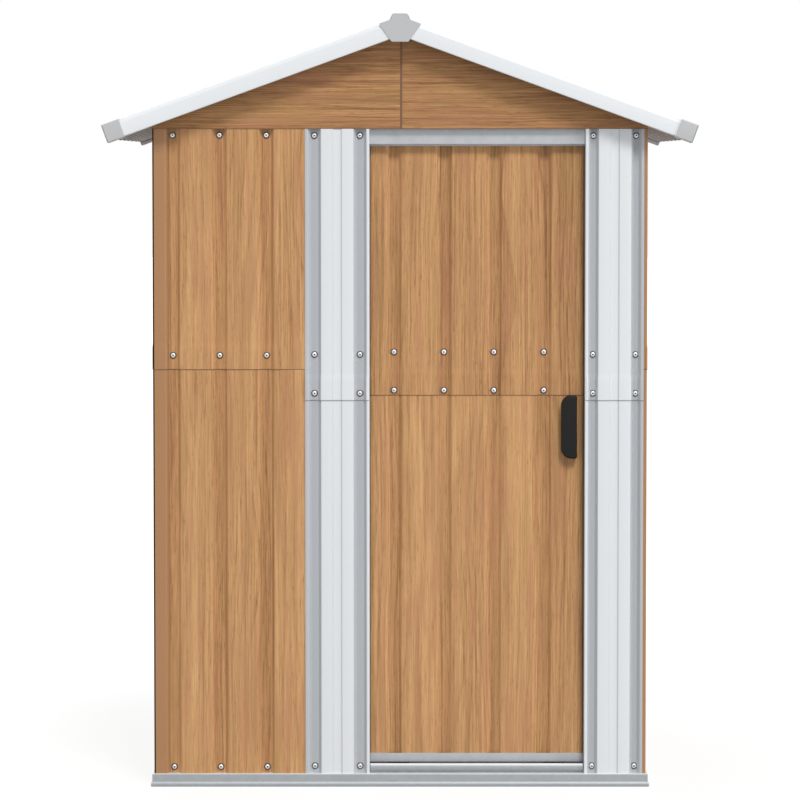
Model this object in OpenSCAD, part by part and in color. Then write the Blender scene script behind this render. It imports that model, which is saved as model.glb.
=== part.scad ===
// Metal storage shed with a gable roof and one sliding door.
// A flat-pack kit: corrugated wall sheets in two storeys stand on formed base rails,
// two white jamb sheets frame the doorway, and the door slides left behind the front wall.
// Millimetres, +Z up. The front faces -Y and the origin is on the ground under the middle.

/* [Body] */
// Width across the outer faces of the side walls
body_w = 1130; // [1090:5:1190]
// Depth across the outer faces of the front and rear walls
body_d = 880; // [820:5:960]
// Height of the top edge of the wall sheets
wall_h = 1520; // [1450:5:1600]
// Height of the joint between lower and upper wall sheets
wall_seam = 957; // [880:1:1000]

/* [Sheets] */
// Thickness of the wall and roof sheets
sheet_t = 1; // [0.8:0.1:1.2]
// Depth of the ribs in the walls
rib_d = 10; // [8:0.5:11]
// Spacing of the valleys in the walls
rib_pitch = 107; // [100:0.5:112]
// Width of the flat bottom of a valley
valley_w = 22; // [19:0.5:26]
// Width of the sloping side of a rib, seen from the front
flank_w = 6; // [4:0.25:7]
// Width of the plain strip that a side sheet shows at a corner
corner_strip = 30; // [26:0.5:34]
// Width of that strip at the front right corner, beside the jamb
jamb_strip = 14; // [12:0.5:16]
// How far a side sheet reaches behind the next sheet
corner_lap = 16; // [13:0.5:18]

/* [Doorway] */
// Clear width of the doorway
door_w = 493; // [440:1:540]
// Width of the left jamb sheet, without its lip
left_jamb_w = 144; // [130:1:160]
// Width of the right jamb sheet, without its lip
right_jamb_w = 128; // [122:1:140]
// Height of the joint between lower and upper jamb sheets
jamb_seam = 886; // [840:1:930]
// Width of the lip along each edge of a jamb sheet
jamb_lip = 6; // [5:0.5:8]
// Width of the flat top of the jamb's rib
jamb_rib_w = 73; // [66:0.5:76]
// Width of the shallow band along the jamb's rib
jamb_band_w = 22; // [18:0.5:26]
// Depth of that band
jamb_band_d = 1.5; // [1:0.1:2]
// How far the jamb's return reaches past the valleys, beside the door
reveal_d = 12; // [9:0.5:14]

/* [Base rails and tracks] */
// Thickness of rails, tracks and beams
rail_t = 1.5; // [1.2:0.1:1.8]
// Height of the base ledge that the sheets stand on
ledge_h = 30; // [26:1:34]
// How far the base rail stands proud of the walls
base_proud = 4.5; // [3:0.5:6]
// How far the lip along its foot stands proud of the rail
foot_lip = 3; // [2:0.5:4]
// Height of that lip
foot_lip_h = 9; // [7:0.5:11]
// Height of the upstand behind the sheets
upstand_h = 18; // [15:0.5:20]
// Reach of the flange on the ground, inwards from the wall's face
ground_flange = 40; // [36:1:44]
// Diameter of an anchor hole in the ground flange
anchor_d = 9; // [8:0.5:10]
// Distance of an anchor hole from the wall's face
anchor_in = 26; // [24:0.5:28]
// Distance between two anchor holes along a side
anchor_gap = 600; // [500:10:640]
// Height of the top track's front face
track_h = 33; // [30:1:36]
// How far the bottom track stands up past the base rail's upstand
track_lip = 3; // [2:0.5:5]
// Space between the top track and the gable
track_gap = 2; // [1:0.5:4]
// Depth of the door tracks
track_d = 45; // [44:0.5:50]
// Depth of the top rails and braces
beam_d = 25; // [22:0.5:28]
// Height of the top rails and braces
beam_h = 38; // [34:1:42]

/* [Door] */
// How far the door reaches behind each jamb
door_lap = 18; // [15:0.5:20]
// Clearance of the door to everything that stays put
slide_gap = 5; // [5:0.5:6]
// Running gap between the lower glides and the bottom track
run_gap = 0.3; // [0.3:0.1:0.6]
// Depth of the ribs in the door
door_rib_d = 8; // [6:0.5:9]
// Height of the rails along the top and bottom of the door
door_rail_h = 21; // [18:1:24]
// Height of the joint between lower and upper door sheets
door_seam = 896; // [850:1:940]
// Width of the door's stiles
stile_w = 20; // [18:0.5:22]
// Width of the handle
handle_w = 36; // [32:0.5:38]
// Height of the handle
handle_h = 145; // [130:1:160]
// How far the handle stands out from the door
handle_out = 20; // [16:0.5:22]
// Wall of the handle around the finger space
handle_wall = 4; // [3:0.25:5]
// Height of the handle's lower end
handle_z = 755; // [720:1:790]
// Distance of the handle's middle from the doorway's right edge
handle_in = 35; // [30:0.5:38]

/* [Roof] */
// Slope of the roof in degrees
roof_pitch = 20; // [17:0.5:23]
// How far an eave reaches past the side wall
eave_reach = 112; // [90:1:140]
// How far a trim reaches past the front or rear wall
gable_reach = 47.5; // [42:0.5:80]
// Height of the ribs in the roof sheets
roof_rib_h = 11; // [9:0.5:13]
// Number of ribs in a roof sheet
roof_ribs = 9; // [7:1:11]
// Space between the wall's top edge and the roof sheet
eave_gap = 1.5; // [1:0.25:3]
// How far the gable laps down over the wall sheets
gable_lap = 10; // [8:0.5:12]
// Depth of the gable's flange under the roof sheet
gable_flange = 25; // [20:1:30]
// Depth of the trim below the roof sheet
trim_drop = 6; // [5:0.5:8]
// Height of the whole trim, square to the slope
trim_h = 39; // [36:0.5:42]
// Width of the trim's top
trim_w = 30; // [26:1:34]
// Size of the sloping edge along the trim's top
trim_bevel = 7; // [5:0.5:8]
// Length of an eave end cap along the slope
eave_cap_l = 42; // [38:1:46]
// Wall thickness of the plastic end caps
cap_t = 2; // [1.5:0.25:2.5]
// Half the width of the flat along the ridge
crown_half = 15; // [13:0.5:16]
// Height of the ridge capping's flat above the roof sheets' ridge line
crown_h = 41; // [39:0.5:44]

/* [Hidden] */
half_w = body_w / 2;
half_d = body_d / 2;
roof_w = body_w + 2 * eave_reach;
roof_d = body_d + 2 * gable_reach;
gable_z = wall_h - gable_lap;

// The front from right to left: corner strip, right jamb, doorway, left jamb, wall sheet
right_jamb_x = half_w - jamb_strip;
notch_gap = 3;
door_right = right_jamb_x - right_jamb_w;
door_left = door_right - door_w;
left_jamb_x = door_left - left_jamb_w;

// Depths are measured inwards from the face of the wall's ribs
back_v = rib_d + sheet_t;
track_v = back_v + track_d;
rail_x0 = -half_w + corner_strip + flank_w + corner_lap + 6;
rail_x1 = half_w - back_v - 4;
side_rail_y0 = -half_d + track_v + 1;
side_rail_y1 = half_d - back_v - 2 * sheet_t;

// The front wall's valleys run from the corner strip to the one under the left jamb
front_valley = -half_w + corner_strip + flank_w + valley_w / 2;
front_last = left_jamb_x + flank_w + valley_w / 2;
front_gaps = round((front_last - front_valley) / rib_pitch);
front_pitch = (front_last - front_valley) / front_gaps;

// The door, closed
door_v = rib_d + reveal_d + slide_gap;
door_sheet_v = door_v + rail_t;
door_back_v = door_sheet_v + door_rib_d + sheet_t;
door_rear_v = door_back_v + 2 * rail_t;
door_x0 = door_left - door_lap;
door_x1 = door_right + door_lap;
door_z0 = ledge_h + upstand_h + track_lip + slide_gap;
door_z1 = gable_z - track_gap - rail_t - 2 * slide_gap - 4;
door_pitch = door_w / 4.3;
door_edge = stile_w - flank_w;
handle_x = door_right - handle_in;
edge_gap = 0.5;
glide_in = 60;
glide_l = 50;

// The roof in the plane of its slope: s runs down the slope, n is square to it
ridge_z = wall_h + eave_gap + half_w * tan(roof_pitch);
slope_l = (roof_w / 2 - (trim_h - trim_drop + cap_t) * sin(roof_pitch)) / cos(roof_pitch);
trim_front = roof_d / 2 - cap_t;
trim_top = trim_h - trim_drop;
rib_top = roof_rib_h + sheet_t;
trim_flange = 16;
crown_foot = 34;
crown_edge = crown_foot + 8;
crown_z = ridge_z + crown_h;
beam_s = slope_l * 0.46;

// Bent sheet: an open line with a thickness on its left-hand side, or right if t is negative
function unit(v) = v / norm(v);
function left_of(v) = [-v[1], v[0]];
function side_point(p, i, t) =
    let (
        last = len(p) - 1,
        before = unit(p[max(i, 1)] - p[max(i, 1) - 1]),
        after = unit(p[min(i, last - 1) + 1] - p[min(i, last - 1)]),
        n = left_of(before) + left_of(after)
    )
    p[i] + n * (2 * t / (n * n));
function bent(p, t) = concat(p, [for (i = [len(p) - 1 : -1 : 0]) side_point(p, i, t)]);

// One valley of depth d around u = c, as four points of a wall's line
function valley(c, d, w = valley_w) = [
    [c - w / 2 - flank_w, 0], [c - w / 2, d], [c + w / 2, d], [c + w / 2 + flank_w, 0]
];

// A row of n valleys, the first around u = c
function valleys(c, pitch, n, d) = [for (i = [0 : n - 1], q = valley(c + i * pitch, d)) q];

// The same row for a wall from u = 0 to u = l, centred, with the pitch asked for
function even_valleys(l, n, d) = valleys((l - (n - 1) * rib_pitch) / 2, rib_pitch, n, d);

// Extrusions of a drawn section along each axis
module along_x(p, x0, x1) {
    translate([x0, 0, 0]) rotate([90, 0, 90]) linear_extrude(x1 - x0) polygon(p);
}
module along_y(p, y0, y1) {
    translate([0, y1, 0]) rotate([90, 0, 0]) linear_extrude(y1 - y0) polygon(p);
}
module along_z(p, z0, z1) {
    translate([0, 0, z0]) linear_extrude(z1 - z0) polygon(p);
}

// A section drawn as [depth, height] and run along one of the four walls
module front_run(p, x0, x1) {
    translate([0, -half_d, 0]) along_x(p, x0, x1);
}
module rear_run(p, x0, x1) {
    mirror([0, 1, 0]) front_run(p, x0, x1);
}
module left_run(p, y0, y1) {
    translate([-half_w, 0, 0]) along_y(p, y0, y1);
}

// Channel open inwards, with its web at depth v
function channel(v, z0, z1, d) =
    bent([[v + d, z0], [v, z0], [v, z1], [v + d, z1]], -rail_t);

// Base rails, mitred at the corners
function base_section() = bent([
    [ground_flange, 0], [-base_proud - foot_lip, 0], [-base_proud - foot_lip, foot_lip_h],
    [-base_proud, foot_lip_h + 2], [-base_proud, ledge_h], [back_v + rail_t, ledge_h]
], -rail_t);
function upstand_section() = [
    [back_v, ledge_h - rail_t], [back_v + rail_t, ledge_h - rail_t],
    [back_v + rail_t, ledge_h + upstand_h], [back_v, ledge_h + upstand_h]
];
module mitred_front() {
    out = base_proud + foot_lip;
    reach = half_d + out;
    intersection() {
        front_run(base_section(), -half_w - out, half_w + out);
        along_z([
            [-half_w - out, -reach], [half_w + out, -reach],
            [half_w + out - reach, 0], [-half_w - out + reach, 0]
        ], -1, ledge_h + 1);
    }
    front_run(upstand_section(), rail_x0, rail_x1);
}
module mitred_rear() {
    out = base_proud + foot_lip;
    reach = half_d + out;
    intersection() {
        rear_run(base_section(), -half_w - out, half_w + out);
        along_z([
            [-half_w - out, reach], [half_w + out, reach],
            [half_w + out - reach, 0], [-half_w - out + reach, 0]
        ], -1, ledge_h + 1);
    }
    rear_run(upstand_section(), rail_x0, -rail_x0);
}
module mitred_left() {
    out = base_proud + foot_lip;
    reach = half_d + out;
    difference() {
        union() {
            intersection() {
                left_run(base_section(), -reach, reach);
                along_z([
                    [-half_w - out, -reach], [-half_w - out, reach],
                    [-half_w - out + reach, 0]
                ], -1, ledge_h + 1);
            }
            left_run(upstand_section(), -side_rail_y1, side_rail_y1);
        }
        for (y = [-1, 1])
            translate([-half_w + anchor_in, y * anchor_gap / 2, -1])
                cylinder(d = anchor_d, h = rail_t + 2, $fn = 32);
    }
}
module base_rail_front() { color("silver") mitred_front(); }
module base_rail_rear() { color("silver") mitred_rear(); }
module base_rail_left() { color("silver") mitred_left(); }
module base_rail_right() { color("silver") mirror([1, 0, 0]) mitred_left(); }

// Front wall, left of the doorway: it starts beside the corner strip, ends under the jamb
front_line = let (v = valleys(front_valley, front_pitch, front_gaps + 1, rib_d), n = len(v))
    concat(
        [[front_valley - valley_w / 2 + edge_gap, rib_d]],
        [for (i = [2 : n - 3]) v[i]],
        [[front_last + valley_w / 2 - flank_w, rib_d]]
    );
module front_sheet(z0, z1) {
    translate([0, -half_d, 0]) along_z(bent(front_line, sheet_t), z0, z1);
}
module front_wall_lower() { color("peru") front_sheet(ledge_h, wall_seam); }
module front_wall_upper() { color("peru") front_sheet(wall_seam, wall_h); }

// Jamb sheets, drawn from the outer flank at u = 0 to the doorway at u = w.
// A lip stands at each edge, and the rib between two equal valleys has a shallow band.
function jamb_line(w) =
    let (
        floor_w = (w - jamb_rib_w - jamb_lip - 4 * flank_w) / 2,
        rib_0 = 2 * flank_w + floor_w,
        rib_1 = rib_0 + jamb_rib_w,
        band_0 = (rib_0 + rib_1 - jamb_band_w) / 2,
        band_1 = band_0 + jamb_band_w
    )
    [
        [-jamb_lip, 0], [0, 0], [flank_w, rib_d], [flank_w + floor_w, rib_d],
        [rib_0, 0], [band_0, 0], [band_0 + jamb_band_d, jamb_band_d],
        [band_1 - jamb_band_d, jamb_band_d], [band_1, 0], [rib_1, 0],
        [rib_1 + flank_w, rib_d], [rib_1 + flank_w + floor_w, rib_d],
        [w - jamb_lip, 0], [w - sheet_t, 0], [w - sheet_t, rib_d + reveal_d]
    ];
// The return is notched where the door tracks pass behind it
module jamb(w, z0, z1) {
    low = ledge_h + upstand_h + track_lip + notch_gap;
    high = gable_z - track_gap - track_h - notch_gap;
    difference() {
        along_z(bent(jamb_line(w), -sheet_t), z0, z1);
        translate([w - jamb_lip, rib_d, 0]) cube([2 * jamb_lip, 2 * reveal_d, low]);
        translate([w - jamb_lip, rib_d, high]) cube([2 * jamb_lip, 2 * reveal_d, wall_h]);
    }
}
module left_jamb(z0, z1) {
    translate([left_jamb_x, -half_d, 0]) jamb(left_jamb_w, z0, z1);
}
module right_jamb(z0, z1) {
    translate([right_jamb_x, -half_d, 0]) mirror([1, 0, 0]) jamb(right_jamb_w, z0, z1);
}
module left_jamb_lower() { color("white") left_jamb(ledge_h, jamb_seam); }
module left_jamb_upper() { color("white") left_jamb(jamb_seam, gable_z); }
module right_jamb_lower() { color("white") right_jamb(ledge_h, jamb_seam); }
module right_jamb_upper() { color("white") right_jamb(jamb_seam, gable_z); }

// Side walls: one sheet per storey that turns both corners and reaches behind the next sheets
side_valleys = floor((body_d - 60) / rib_pitch);
function side_line(strip, behind) = concat(
    [
        [-half_w + strip + flank_w + corner_lap, -half_d + rib_d + behind],
        [-half_w + strip + flank_w, -half_d + rib_d + behind],
        [-half_w + strip, -half_d], [-half_w, -half_d]
    ],
    [for (q = even_valleys(body_d, side_valleys, rib_d)) [-half_w + q[1], -half_d + q[0]]],
    [
        [-half_w, half_d], [-half_w + corner_strip, half_d],
        [-half_w + corner_strip + flank_w, half_d - rib_d - sheet_t],
        [-half_w + corner_strip + flank_w + corner_lap, half_d - rib_d - sheet_t]
    ]
);
module left_wall(z0, z1) {
    along_z(bent(side_line(corner_strip, sheet_t), -sheet_t), z0, z1);
}
module right_wall(z0, z1) {
    mirror([1, 0, 0]) along_z(bent(side_line(jamb_strip, 0), -sheet_t), z0, z1);
}
module left_wall_lower() { color("peru") left_wall(ledge_h, wall_seam); }
module left_wall_upper() { color("peru") left_wall(wall_seam, wall_h); }
module right_wall_lower() { color("peru") right_wall(ledge_h, wall_seam); }
module right_wall_upper() { color("peru") right_wall(wall_seam, wall_h); }

// Rear wall: its end valleys lie over the side sheets
rear_edge = half_w - corner_strip - flank_w - edge_gap;
rear_valleys = floor((2 * rear_edge - valley_w) / rib_pitch) - 1;
rear_first = -(rear_valleys - 1) * rib_pitch / 2;
rear_line = concat(
    [[-rear_edge, rib_d], [-rear_edge + valley_w, rib_d], [-rear_edge + valley_w + flank_w, 0]],
    valleys(rear_first, rib_pitch, rear_valleys, rib_d),
    [[rear_edge - valley_w - flank_w, 0], [rear_edge - valley_w, rib_d], [rear_edge, rib_d]]
);
module rear_sheet(z0, z1) {
    mirror([0, 1, 0]) translate([0, -half_d, 0]) along_z(bent(rear_line, sheet_t), z0, z1);
}
module rear_wall_lower() { color("peru") rear_sheet(ledge_h, wall_seam); }
module rear_wall_upper() { color("peru") rear_sheet(wall_seam, wall_h); }

// Tracks for the door, along the whole front inside the wall
module door_top_track() {
    z0 = gable_z - track_gap - track_h;
    z1 = gable_z - track_gap;
    color("gainsboro") front_run(bent([
        [back_v, z0], [back_v, z1], [track_v, z1], [track_v, z0]
    ], -rail_t), rail_x0, rail_x1);
}
module door_bottom_track() {
    v0 = back_v + rail_t;
    z1 = ledge_h + upstand_h + track_lip;
    color("gainsboro") front_run(bent([
        [v0, z1], [v0, ledge_h], [track_v, ledge_h], [track_v, z1]
    ], rail_t), rail_x0, rail_x1);
}

// Rails along the top of the other walls, and braces behind the joint of the sheets
module side_pair(z0, z1) {
    for (m = [0, 1]) mirror([m, 0, 0])
        left_run(channel(back_v, z0, z1, beam_d), side_rail_y0, side_rail_y1);
}
module side_top_rails() { color("gainsboro") side_pair(gable_z - beam_h, gable_z); }
module rear_top_rail() {
    color("gainsboro")
        rear_run(channel(back_v, gable_z - beam_h, gable_z, beam_d), rail_x0, -rail_x0);
}
module side_braces() { color("gainsboro") side_pair(wall_seam - beam_h / 2, wall_seam + beam_h / 2); }
module rear_brace() {
    color("gainsboro") rear_run(
        channel(back_v, wall_seam - beam_h / 2, wall_seam + beam_h / 2, beam_d), rail_x0, -rail_x0);
}

// Gables: a flat half sheet with a flange under the roof
function under_roof(x) = ridge_z - x * tan(roof_pitch);
module gable_half() {
    drop = sheet_t / cos(roof_pitch);
    along_y([
        [0, gable_z], [half_w, gable_z], [half_w, under_roof(half_w)], [0, under_roof(0)]
    ], -half_d - sheet_t, -half_d);
    along_y([
        [0, under_roof(0) - drop], [half_w, under_roof(half_w) - drop],
        [half_w, under_roof(half_w)], [0, under_roof(0)]
    ], -half_d - sheet_t, -half_d + gable_flange);
}
module front_gable_left() { color("peru") mirror([1, 0, 0]) gable_half(); }
module front_gable_right() { color("peru") gable_half(); }
module rear_gable_left() { color("peru") mirror([0, 1, 0]) mirror([1, 0, 0]) gable_half(); }
module rear_gable_right() { color("peru") mirror([0, 1, 0]) gable_half(); }

// Roof: children are drawn flat, x down the right slope and z square to it
module on_slope() {
    translate([0, 0, ridge_z]) rotate([0, roof_pitch, 0]) children();
}
module roof_beams() {
    color("gainsboro") for (m = [0, 1]) mirror([m, 0, 0]) on_slope()
        along_y(bent([
            [beam_s + beam_d, -sheet_t - beam_h], [beam_s, -sheet_t - beam_h],
            [beam_s, -sheet_t], [beam_s + beam_d, -sheet_t]
        ], -rail_t), -half_d + edge_gap, half_d - edge_gap);
}
roof_edge = trim_front - rail_t - 0.5;
roof_rib_pitch = 2 * roof_edge / roof_ribs;
roof_rib_w = roof_rib_pitch * 0.3;
function roof_rib(c) = [
    [c - roof_rib_w / 2 - flank_w, 0], [c - roof_rib_w / 2, roof_rib_h],
    [c + roof_rib_w / 2, roof_rib_h], [c + roof_rib_w / 2 + flank_w, 0]
];
roof_line = concat(
    [[-roof_edge, 0]],
    [for (i = [0 : roof_ribs - 1], q = roof_rib(-roof_edge + (i + 0.5) * roof_rib_pitch)) q],
    [[roof_edge, 0]]
);
module roof_sheet() {
    on_slope() along_x(bent(roof_line, sheet_t), 3, slope_l - cap_t - 1);
}
module roof_sheet_left() { color("peru") mirror([1, 0, 0]) roof_sheet(); }
module roof_sheet_right() { color("peru") roof_sheet(); }

// Height of the plane over the ribs of the roof sheet, at x from the middle
function over_ribs(x) = ridge_z + rib_top / cos(roof_pitch) - x * tan(roof_pitch);
module ridge_capping() {
    color("white") along_y(bent([
        [-crown_edge, over_ribs(crown_edge)], [-crown_foot, over_ribs(crown_foot)],
        [-crown_half, crown_z - rail_t], [crown_half, crown_z - rail_t],
        [crown_foot, over_ribs(crown_foot)], [crown_edge, over_ribs(crown_edge)]
    ], rail_t), -trim_front, trim_front);
}

// Trims along the gable edges of the roof, from the ridge capping to the eave caps
trim_section = bent([
    [-trim_front + 22, -trim_drop], [-trim_front, -trim_drop],
    [-trim_front, trim_top - trim_bevel], [-trim_front + trim_bevel, trim_top],
    [-trim_front + trim_w, trim_top], [-trim_front + trim_w + 4, rib_top + rail_t],
    [-trim_front + trim_w + 4 + trim_flange, rib_top + rail_t]
], -rail_t);
trim_x0 = crown_edge + 2;
module trim() {
    difference() {
        on_slope() along_x(trim_section, 10, slope_l - eave_cap_l / 2);
        translate([trim_x0 - roof_w, -roof_d, 0]) cube([roof_w, 2 * roof_d, 2 * ridge_z]);
    }
}
module front_trim_left() { color("white") mirror([1, 0, 0]) trim(); }
module front_trim_right() { color("white") trim(); }
module rear_trim_left() { color("white") mirror([0, 1, 0]) mirror([1, 0, 0]) trim(); }
module rear_trim_right() { color("white") mirror([0, 1, 0]) trim(); }

// Plastic caps: a sleeve over the lower end of each trim, and a plate over each end of the ridge
module eave_cap() {
    back = trim_w + 4 + trim_flange;
    on_slope() difference() {
        translate([slope_l - eave_cap_l, -trim_front - cap_t, -trim_drop - cap_t])
            cube([eave_cap_l, back + cap_t, trim_h + 2 * cap_t]);
        translate([slope_l - eave_cap_l - 1, -trim_front, -trim_drop])
            cube([eave_cap_l + 1 - cap_t, back + 1, trim_h]);
    }
}
module eave_end_caps() {
    color("darkgray") for (m = [0, 1], k = [0, 1])
        mirror([m, 0, 0]) mirror([0, k, 0]) eave_cap();
}
ridge_cap_half = crown_edge + 5;
ridge_cap_foot = 19;
ridge_cap_low = 21;
function trim_line(x) = ridge_z + trim_top / cos(roof_pitch) - x * tan(roof_pitch);
module ridge_end_caps() {
    step = crown_half + 6;
    color("darkgray") for (k = [0, 1]) mirror([0, k, 0]) along_y([
        [-ridge_cap_foot, ridge_z - ridge_cap_low], [ridge_cap_foot, ridge_z - ridge_cap_low],
        [ridge_cap_half, trim_line(ridge_cap_half)],
        [ridge_cap_half, trim_line(ridge_cap_half) + cap_t],
        [step, trim_line(step) + cap_t], [crown_half, crown_z + cap_t],
        [-crown_half, crown_z + cap_t], [-step, trim_line(step) + cap_t],
        [-ridge_cap_half, trim_line(ridge_cap_half) + cap_t],
        [-ridge_cap_half, trim_line(ridge_cap_half)]
    ], -trim_front - cap_t, -trim_front);
}

// Sliding door
door_line = concat(
    [[door_x0 + rail_t, door_rib_d], [door_x0 + door_edge, door_rib_d], [door_x0 + stile_w, 0]],
    valleys(door_left + 0.49 * door_pitch, door_pitch, 4, door_rib_d),
    [[door_x1 - stile_w, 0], [door_x1 - door_edge, door_rib_d], [door_x1 - rail_t, door_rib_d]]
);
module door_sheet(z0, z1) {
    translate([0, -half_d + door_sheet_v, 0]) along_z(bent(door_line, sheet_t), z0, z1);
}
module door_sheet_lower() { color("peru") door_sheet(door_z0 + rail_t, door_seam); }
module door_sheet_upper() { color("peru") door_sheet(door_seam, door_z1 - rail_t); }
module door_stiles() {
    v0 = door_sheet_v + door_rib_d;
    p = bent([
        [door_x0 + door_edge - 2, v0 - rail_t], [door_x0, v0 - rail_t],
        [door_x0, v0 + sheet_t + rail_t], [door_x0 + stile_w, v0 + sheet_t + rail_t]
    ], rail_t);
    color("gainsboro") translate([0, -half_d, 0]) {
        along_z(p, door_z0 + rail_t, door_z1 - rail_t);
        translate([door_x0 + door_x1, 0, 0]) mirror([1, 0, 0])
            along_z(p, door_z0 + rail_t, door_z1 - rail_t);
    }
}
module door_top_rail() {
    color("gainsboro") front_run(bent([
        [door_v, door_z1 - door_rail_h], [door_v, door_z1],
        [door_rear_v + rail_t, door_z1], [door_rear_v + rail_t, door_z1 - door_rail_h]
    ], -rail_t), door_x0, door_x1);
}
module door_bottom_rail() {
    color("gainsboro") front_run(bent([
        [door_v, door_z0 + door_rail_h], [door_v, door_z0],
        [door_rear_v + rail_t, door_z0], [door_rear_v + rail_t, door_z0 + door_rail_h]
    ], rail_t), door_x0, door_x1);
}
module door_brace() {
    color("gainsboro") front_run(
        channel(door_back_v, door_seam - beam_h / 2, door_seam + beam_h / 2, beam_d / 2),
        door_x0 + stile_w + 1, door_x1 - stile_w - 1);
}
module door_glides() {
    bottom = ledge_h + rail_t + run_gap;
    color("dimgray") for (x = [door_x0 + glide_in, door_x1 - glide_in - glide_l])
        translate([x, -half_d + door_v, 0]) {
            translate([0, 0, door_z1]) cube([glide_l, door_rear_v + rail_t - door_v, slide_gap + 3]);
            translate([0, 0, bottom])
                cube([glide_l, door_rear_v + rail_t - door_v, door_z0 - bottom]);
        }
}
function arc(c, r, a0, a1, n = 8) =
    [for (i = [0 : n]) let (a = a0 + (a1 - a0) * i / n) c + r * [cos(a), sin(a)]];
module door_handle() {
    x0 = handle_x - handle_w / 2;
    x1 = handle_x + handle_w / 2;
    z1 = handle_z + handle_h;
    big = handle_w * 0.62;
    small = handle_w * 0.12;
    front = -half_d + door_sheet_v - handle_out;
    color("black") difference() {
        along_y(concat(
            arc([x1 - small, handle_z + small], small, -90, 0),
            arc([x1 - small, z1 - small], small, 0, 90),
            arc([x0 + big, z1 - big], big, 90, 180),
            arc([x0 + big, handle_z + big], big, 180, 270)
        ), front, front + handle_out);
        translate([x0 + handle_wall, front + handle_wall, handle_z + big / 2])
            cube([handle_w, handle_out - 2 * handle_wall, handle_h - big]);
    }
}

base_rail_front();
base_rail_rear();
base_rail_left();
base_rail_right();
front_wall_lower();
front_wall_upper();
left_jamb_lower();
left_jamb_upper();
right_jamb_lower();
right_jamb_upper();
left_wall_lower();
left_wall_upper();
right_wall_lower();
right_wall_upper();
rear_wall_lower();
rear_wall_upper();
door_top_track();
door_bottom_track();
side_top_rails();
rear_top_rail();
side_braces();
rear_brace();
front_gable_left();
front_gable_right();
rear_gable_left();
rear_gable_right();
roof_beams();
roof_sheet_left();
roof_sheet_right();
ridge_capping();
front_trim_left();
front_trim_right();
rear_trim_left();
rear_trim_right();
eave_end_caps();
ridge_end_caps();
door_sheet_lower();
door_sheet_upper();
door_stiles();
door_top_rail();
door_bottom_rail();
door_brace();
door_glides();
door_handle();
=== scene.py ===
# %% [markdown]
# A small garden shed of thin steel sheet: ribbed walls with a printed wood grain, white door jambs, a door
# that slides behind the front wall, and a low gable roof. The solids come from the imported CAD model. This
# script dresses them: each sheet gets real bends and laps, each finish its own nodes, and the screws are
# added.

# %% Load the frame
from math import cos, pi, radians, sin, tan

import bmesh
import bpy
import numpy as np
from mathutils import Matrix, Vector


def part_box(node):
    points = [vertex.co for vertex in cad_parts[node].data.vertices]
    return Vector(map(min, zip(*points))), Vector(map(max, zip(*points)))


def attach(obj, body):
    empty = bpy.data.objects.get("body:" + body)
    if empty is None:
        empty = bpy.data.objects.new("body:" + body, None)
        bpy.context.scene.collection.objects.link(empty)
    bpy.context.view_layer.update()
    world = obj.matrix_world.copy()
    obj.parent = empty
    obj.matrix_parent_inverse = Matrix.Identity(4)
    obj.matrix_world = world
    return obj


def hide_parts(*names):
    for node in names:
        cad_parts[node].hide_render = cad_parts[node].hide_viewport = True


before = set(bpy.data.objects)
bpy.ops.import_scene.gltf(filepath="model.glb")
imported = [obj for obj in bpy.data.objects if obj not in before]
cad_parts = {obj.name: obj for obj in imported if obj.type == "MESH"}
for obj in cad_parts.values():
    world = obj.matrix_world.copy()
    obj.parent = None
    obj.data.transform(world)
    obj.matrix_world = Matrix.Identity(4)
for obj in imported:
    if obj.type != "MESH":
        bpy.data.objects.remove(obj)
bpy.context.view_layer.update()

MM = 0.001

# %% [markdown]
# The CAD nodes give the main places, so nothing here is fitted by eye: the walls' planes, the seam between
# the lower and the upper sheets, the top of the base rail that the walls stand on, and the doorway.


# %% Places taken from the frame
def node_box(node):
    """Lowest and highest corner of a CAD node, as arrays in metres."""
    low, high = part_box(node)
    return np.array(low), np.array(high)


wall_low, wall_high = node_box("left_wall_lower")
half_w = -wall_low[0]
half_d = wall_high[1]
ledge_z = wall_low[2]
seam_z = wall_high[2]
wall_z = node_box("left_wall_upper")[1][2]
gable_z = node_box("front_gable_left")[0][2]
door_left = node_box("left_jamb_lower")[1][0]
door_right = node_box("right_jamb_lower")[0][0]
jamb_seam = node_box("left_jamb_lower")[1][2]
print("walls stand", half_w, half_d, "from the middle, doorway", round(door_right - door_left, 3), "wide")

# %% [markdown]
# Every sheet on this shed starts flat and goes through a folding machine. So every sheet here is a line,
# its cross-section, carried along a straight path. Real folds have a small radius that catches the light,
# so each corner of the line becomes a short curve. The back of the sheet is the same line moved by its
# thickness.

# %% Lines and folds
sheet_t = 1.0 * MM
rail_t = 1.5 * MM


def soften(line, cut=2.4 * MM, steps=4):
    """Round the corners of an open line.

    A corner P gives way to the curve (1-t)^2 A + 2t(1-t) P + t^2 B. A and B lie on the two edges that meet
    in P, cut away from it, or 0.45 of the shorter edge where that is less.
    """
    line = np.asarray(line, float)
    corner = line[1:-1]
    back = line[:-2] - corner
    ahead = line[2:] - corner
    back_l = np.linalg.norm(back, axis=1)
    ahead_l = np.linalg.norm(ahead, axis=1)
    reach = np.minimum(cut, 0.45 * np.minimum(back_l, ahead_l))
    start = (corner + back * (reach / back_l)[:, None])[:, None]
    end = (corner + ahead * (reach / ahead_l)[:, None])[:, None]
    t = np.linspace(0.0, 1.0, steps + 1)[None, :, None]
    curve = (1 - t) ** 2 * start + 2 * t * (1 - t) * corner[:, None] + t ** 2 * end
    return np.vstack([line[:1], curve.reshape(-1, 2), line[-1:]])


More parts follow.
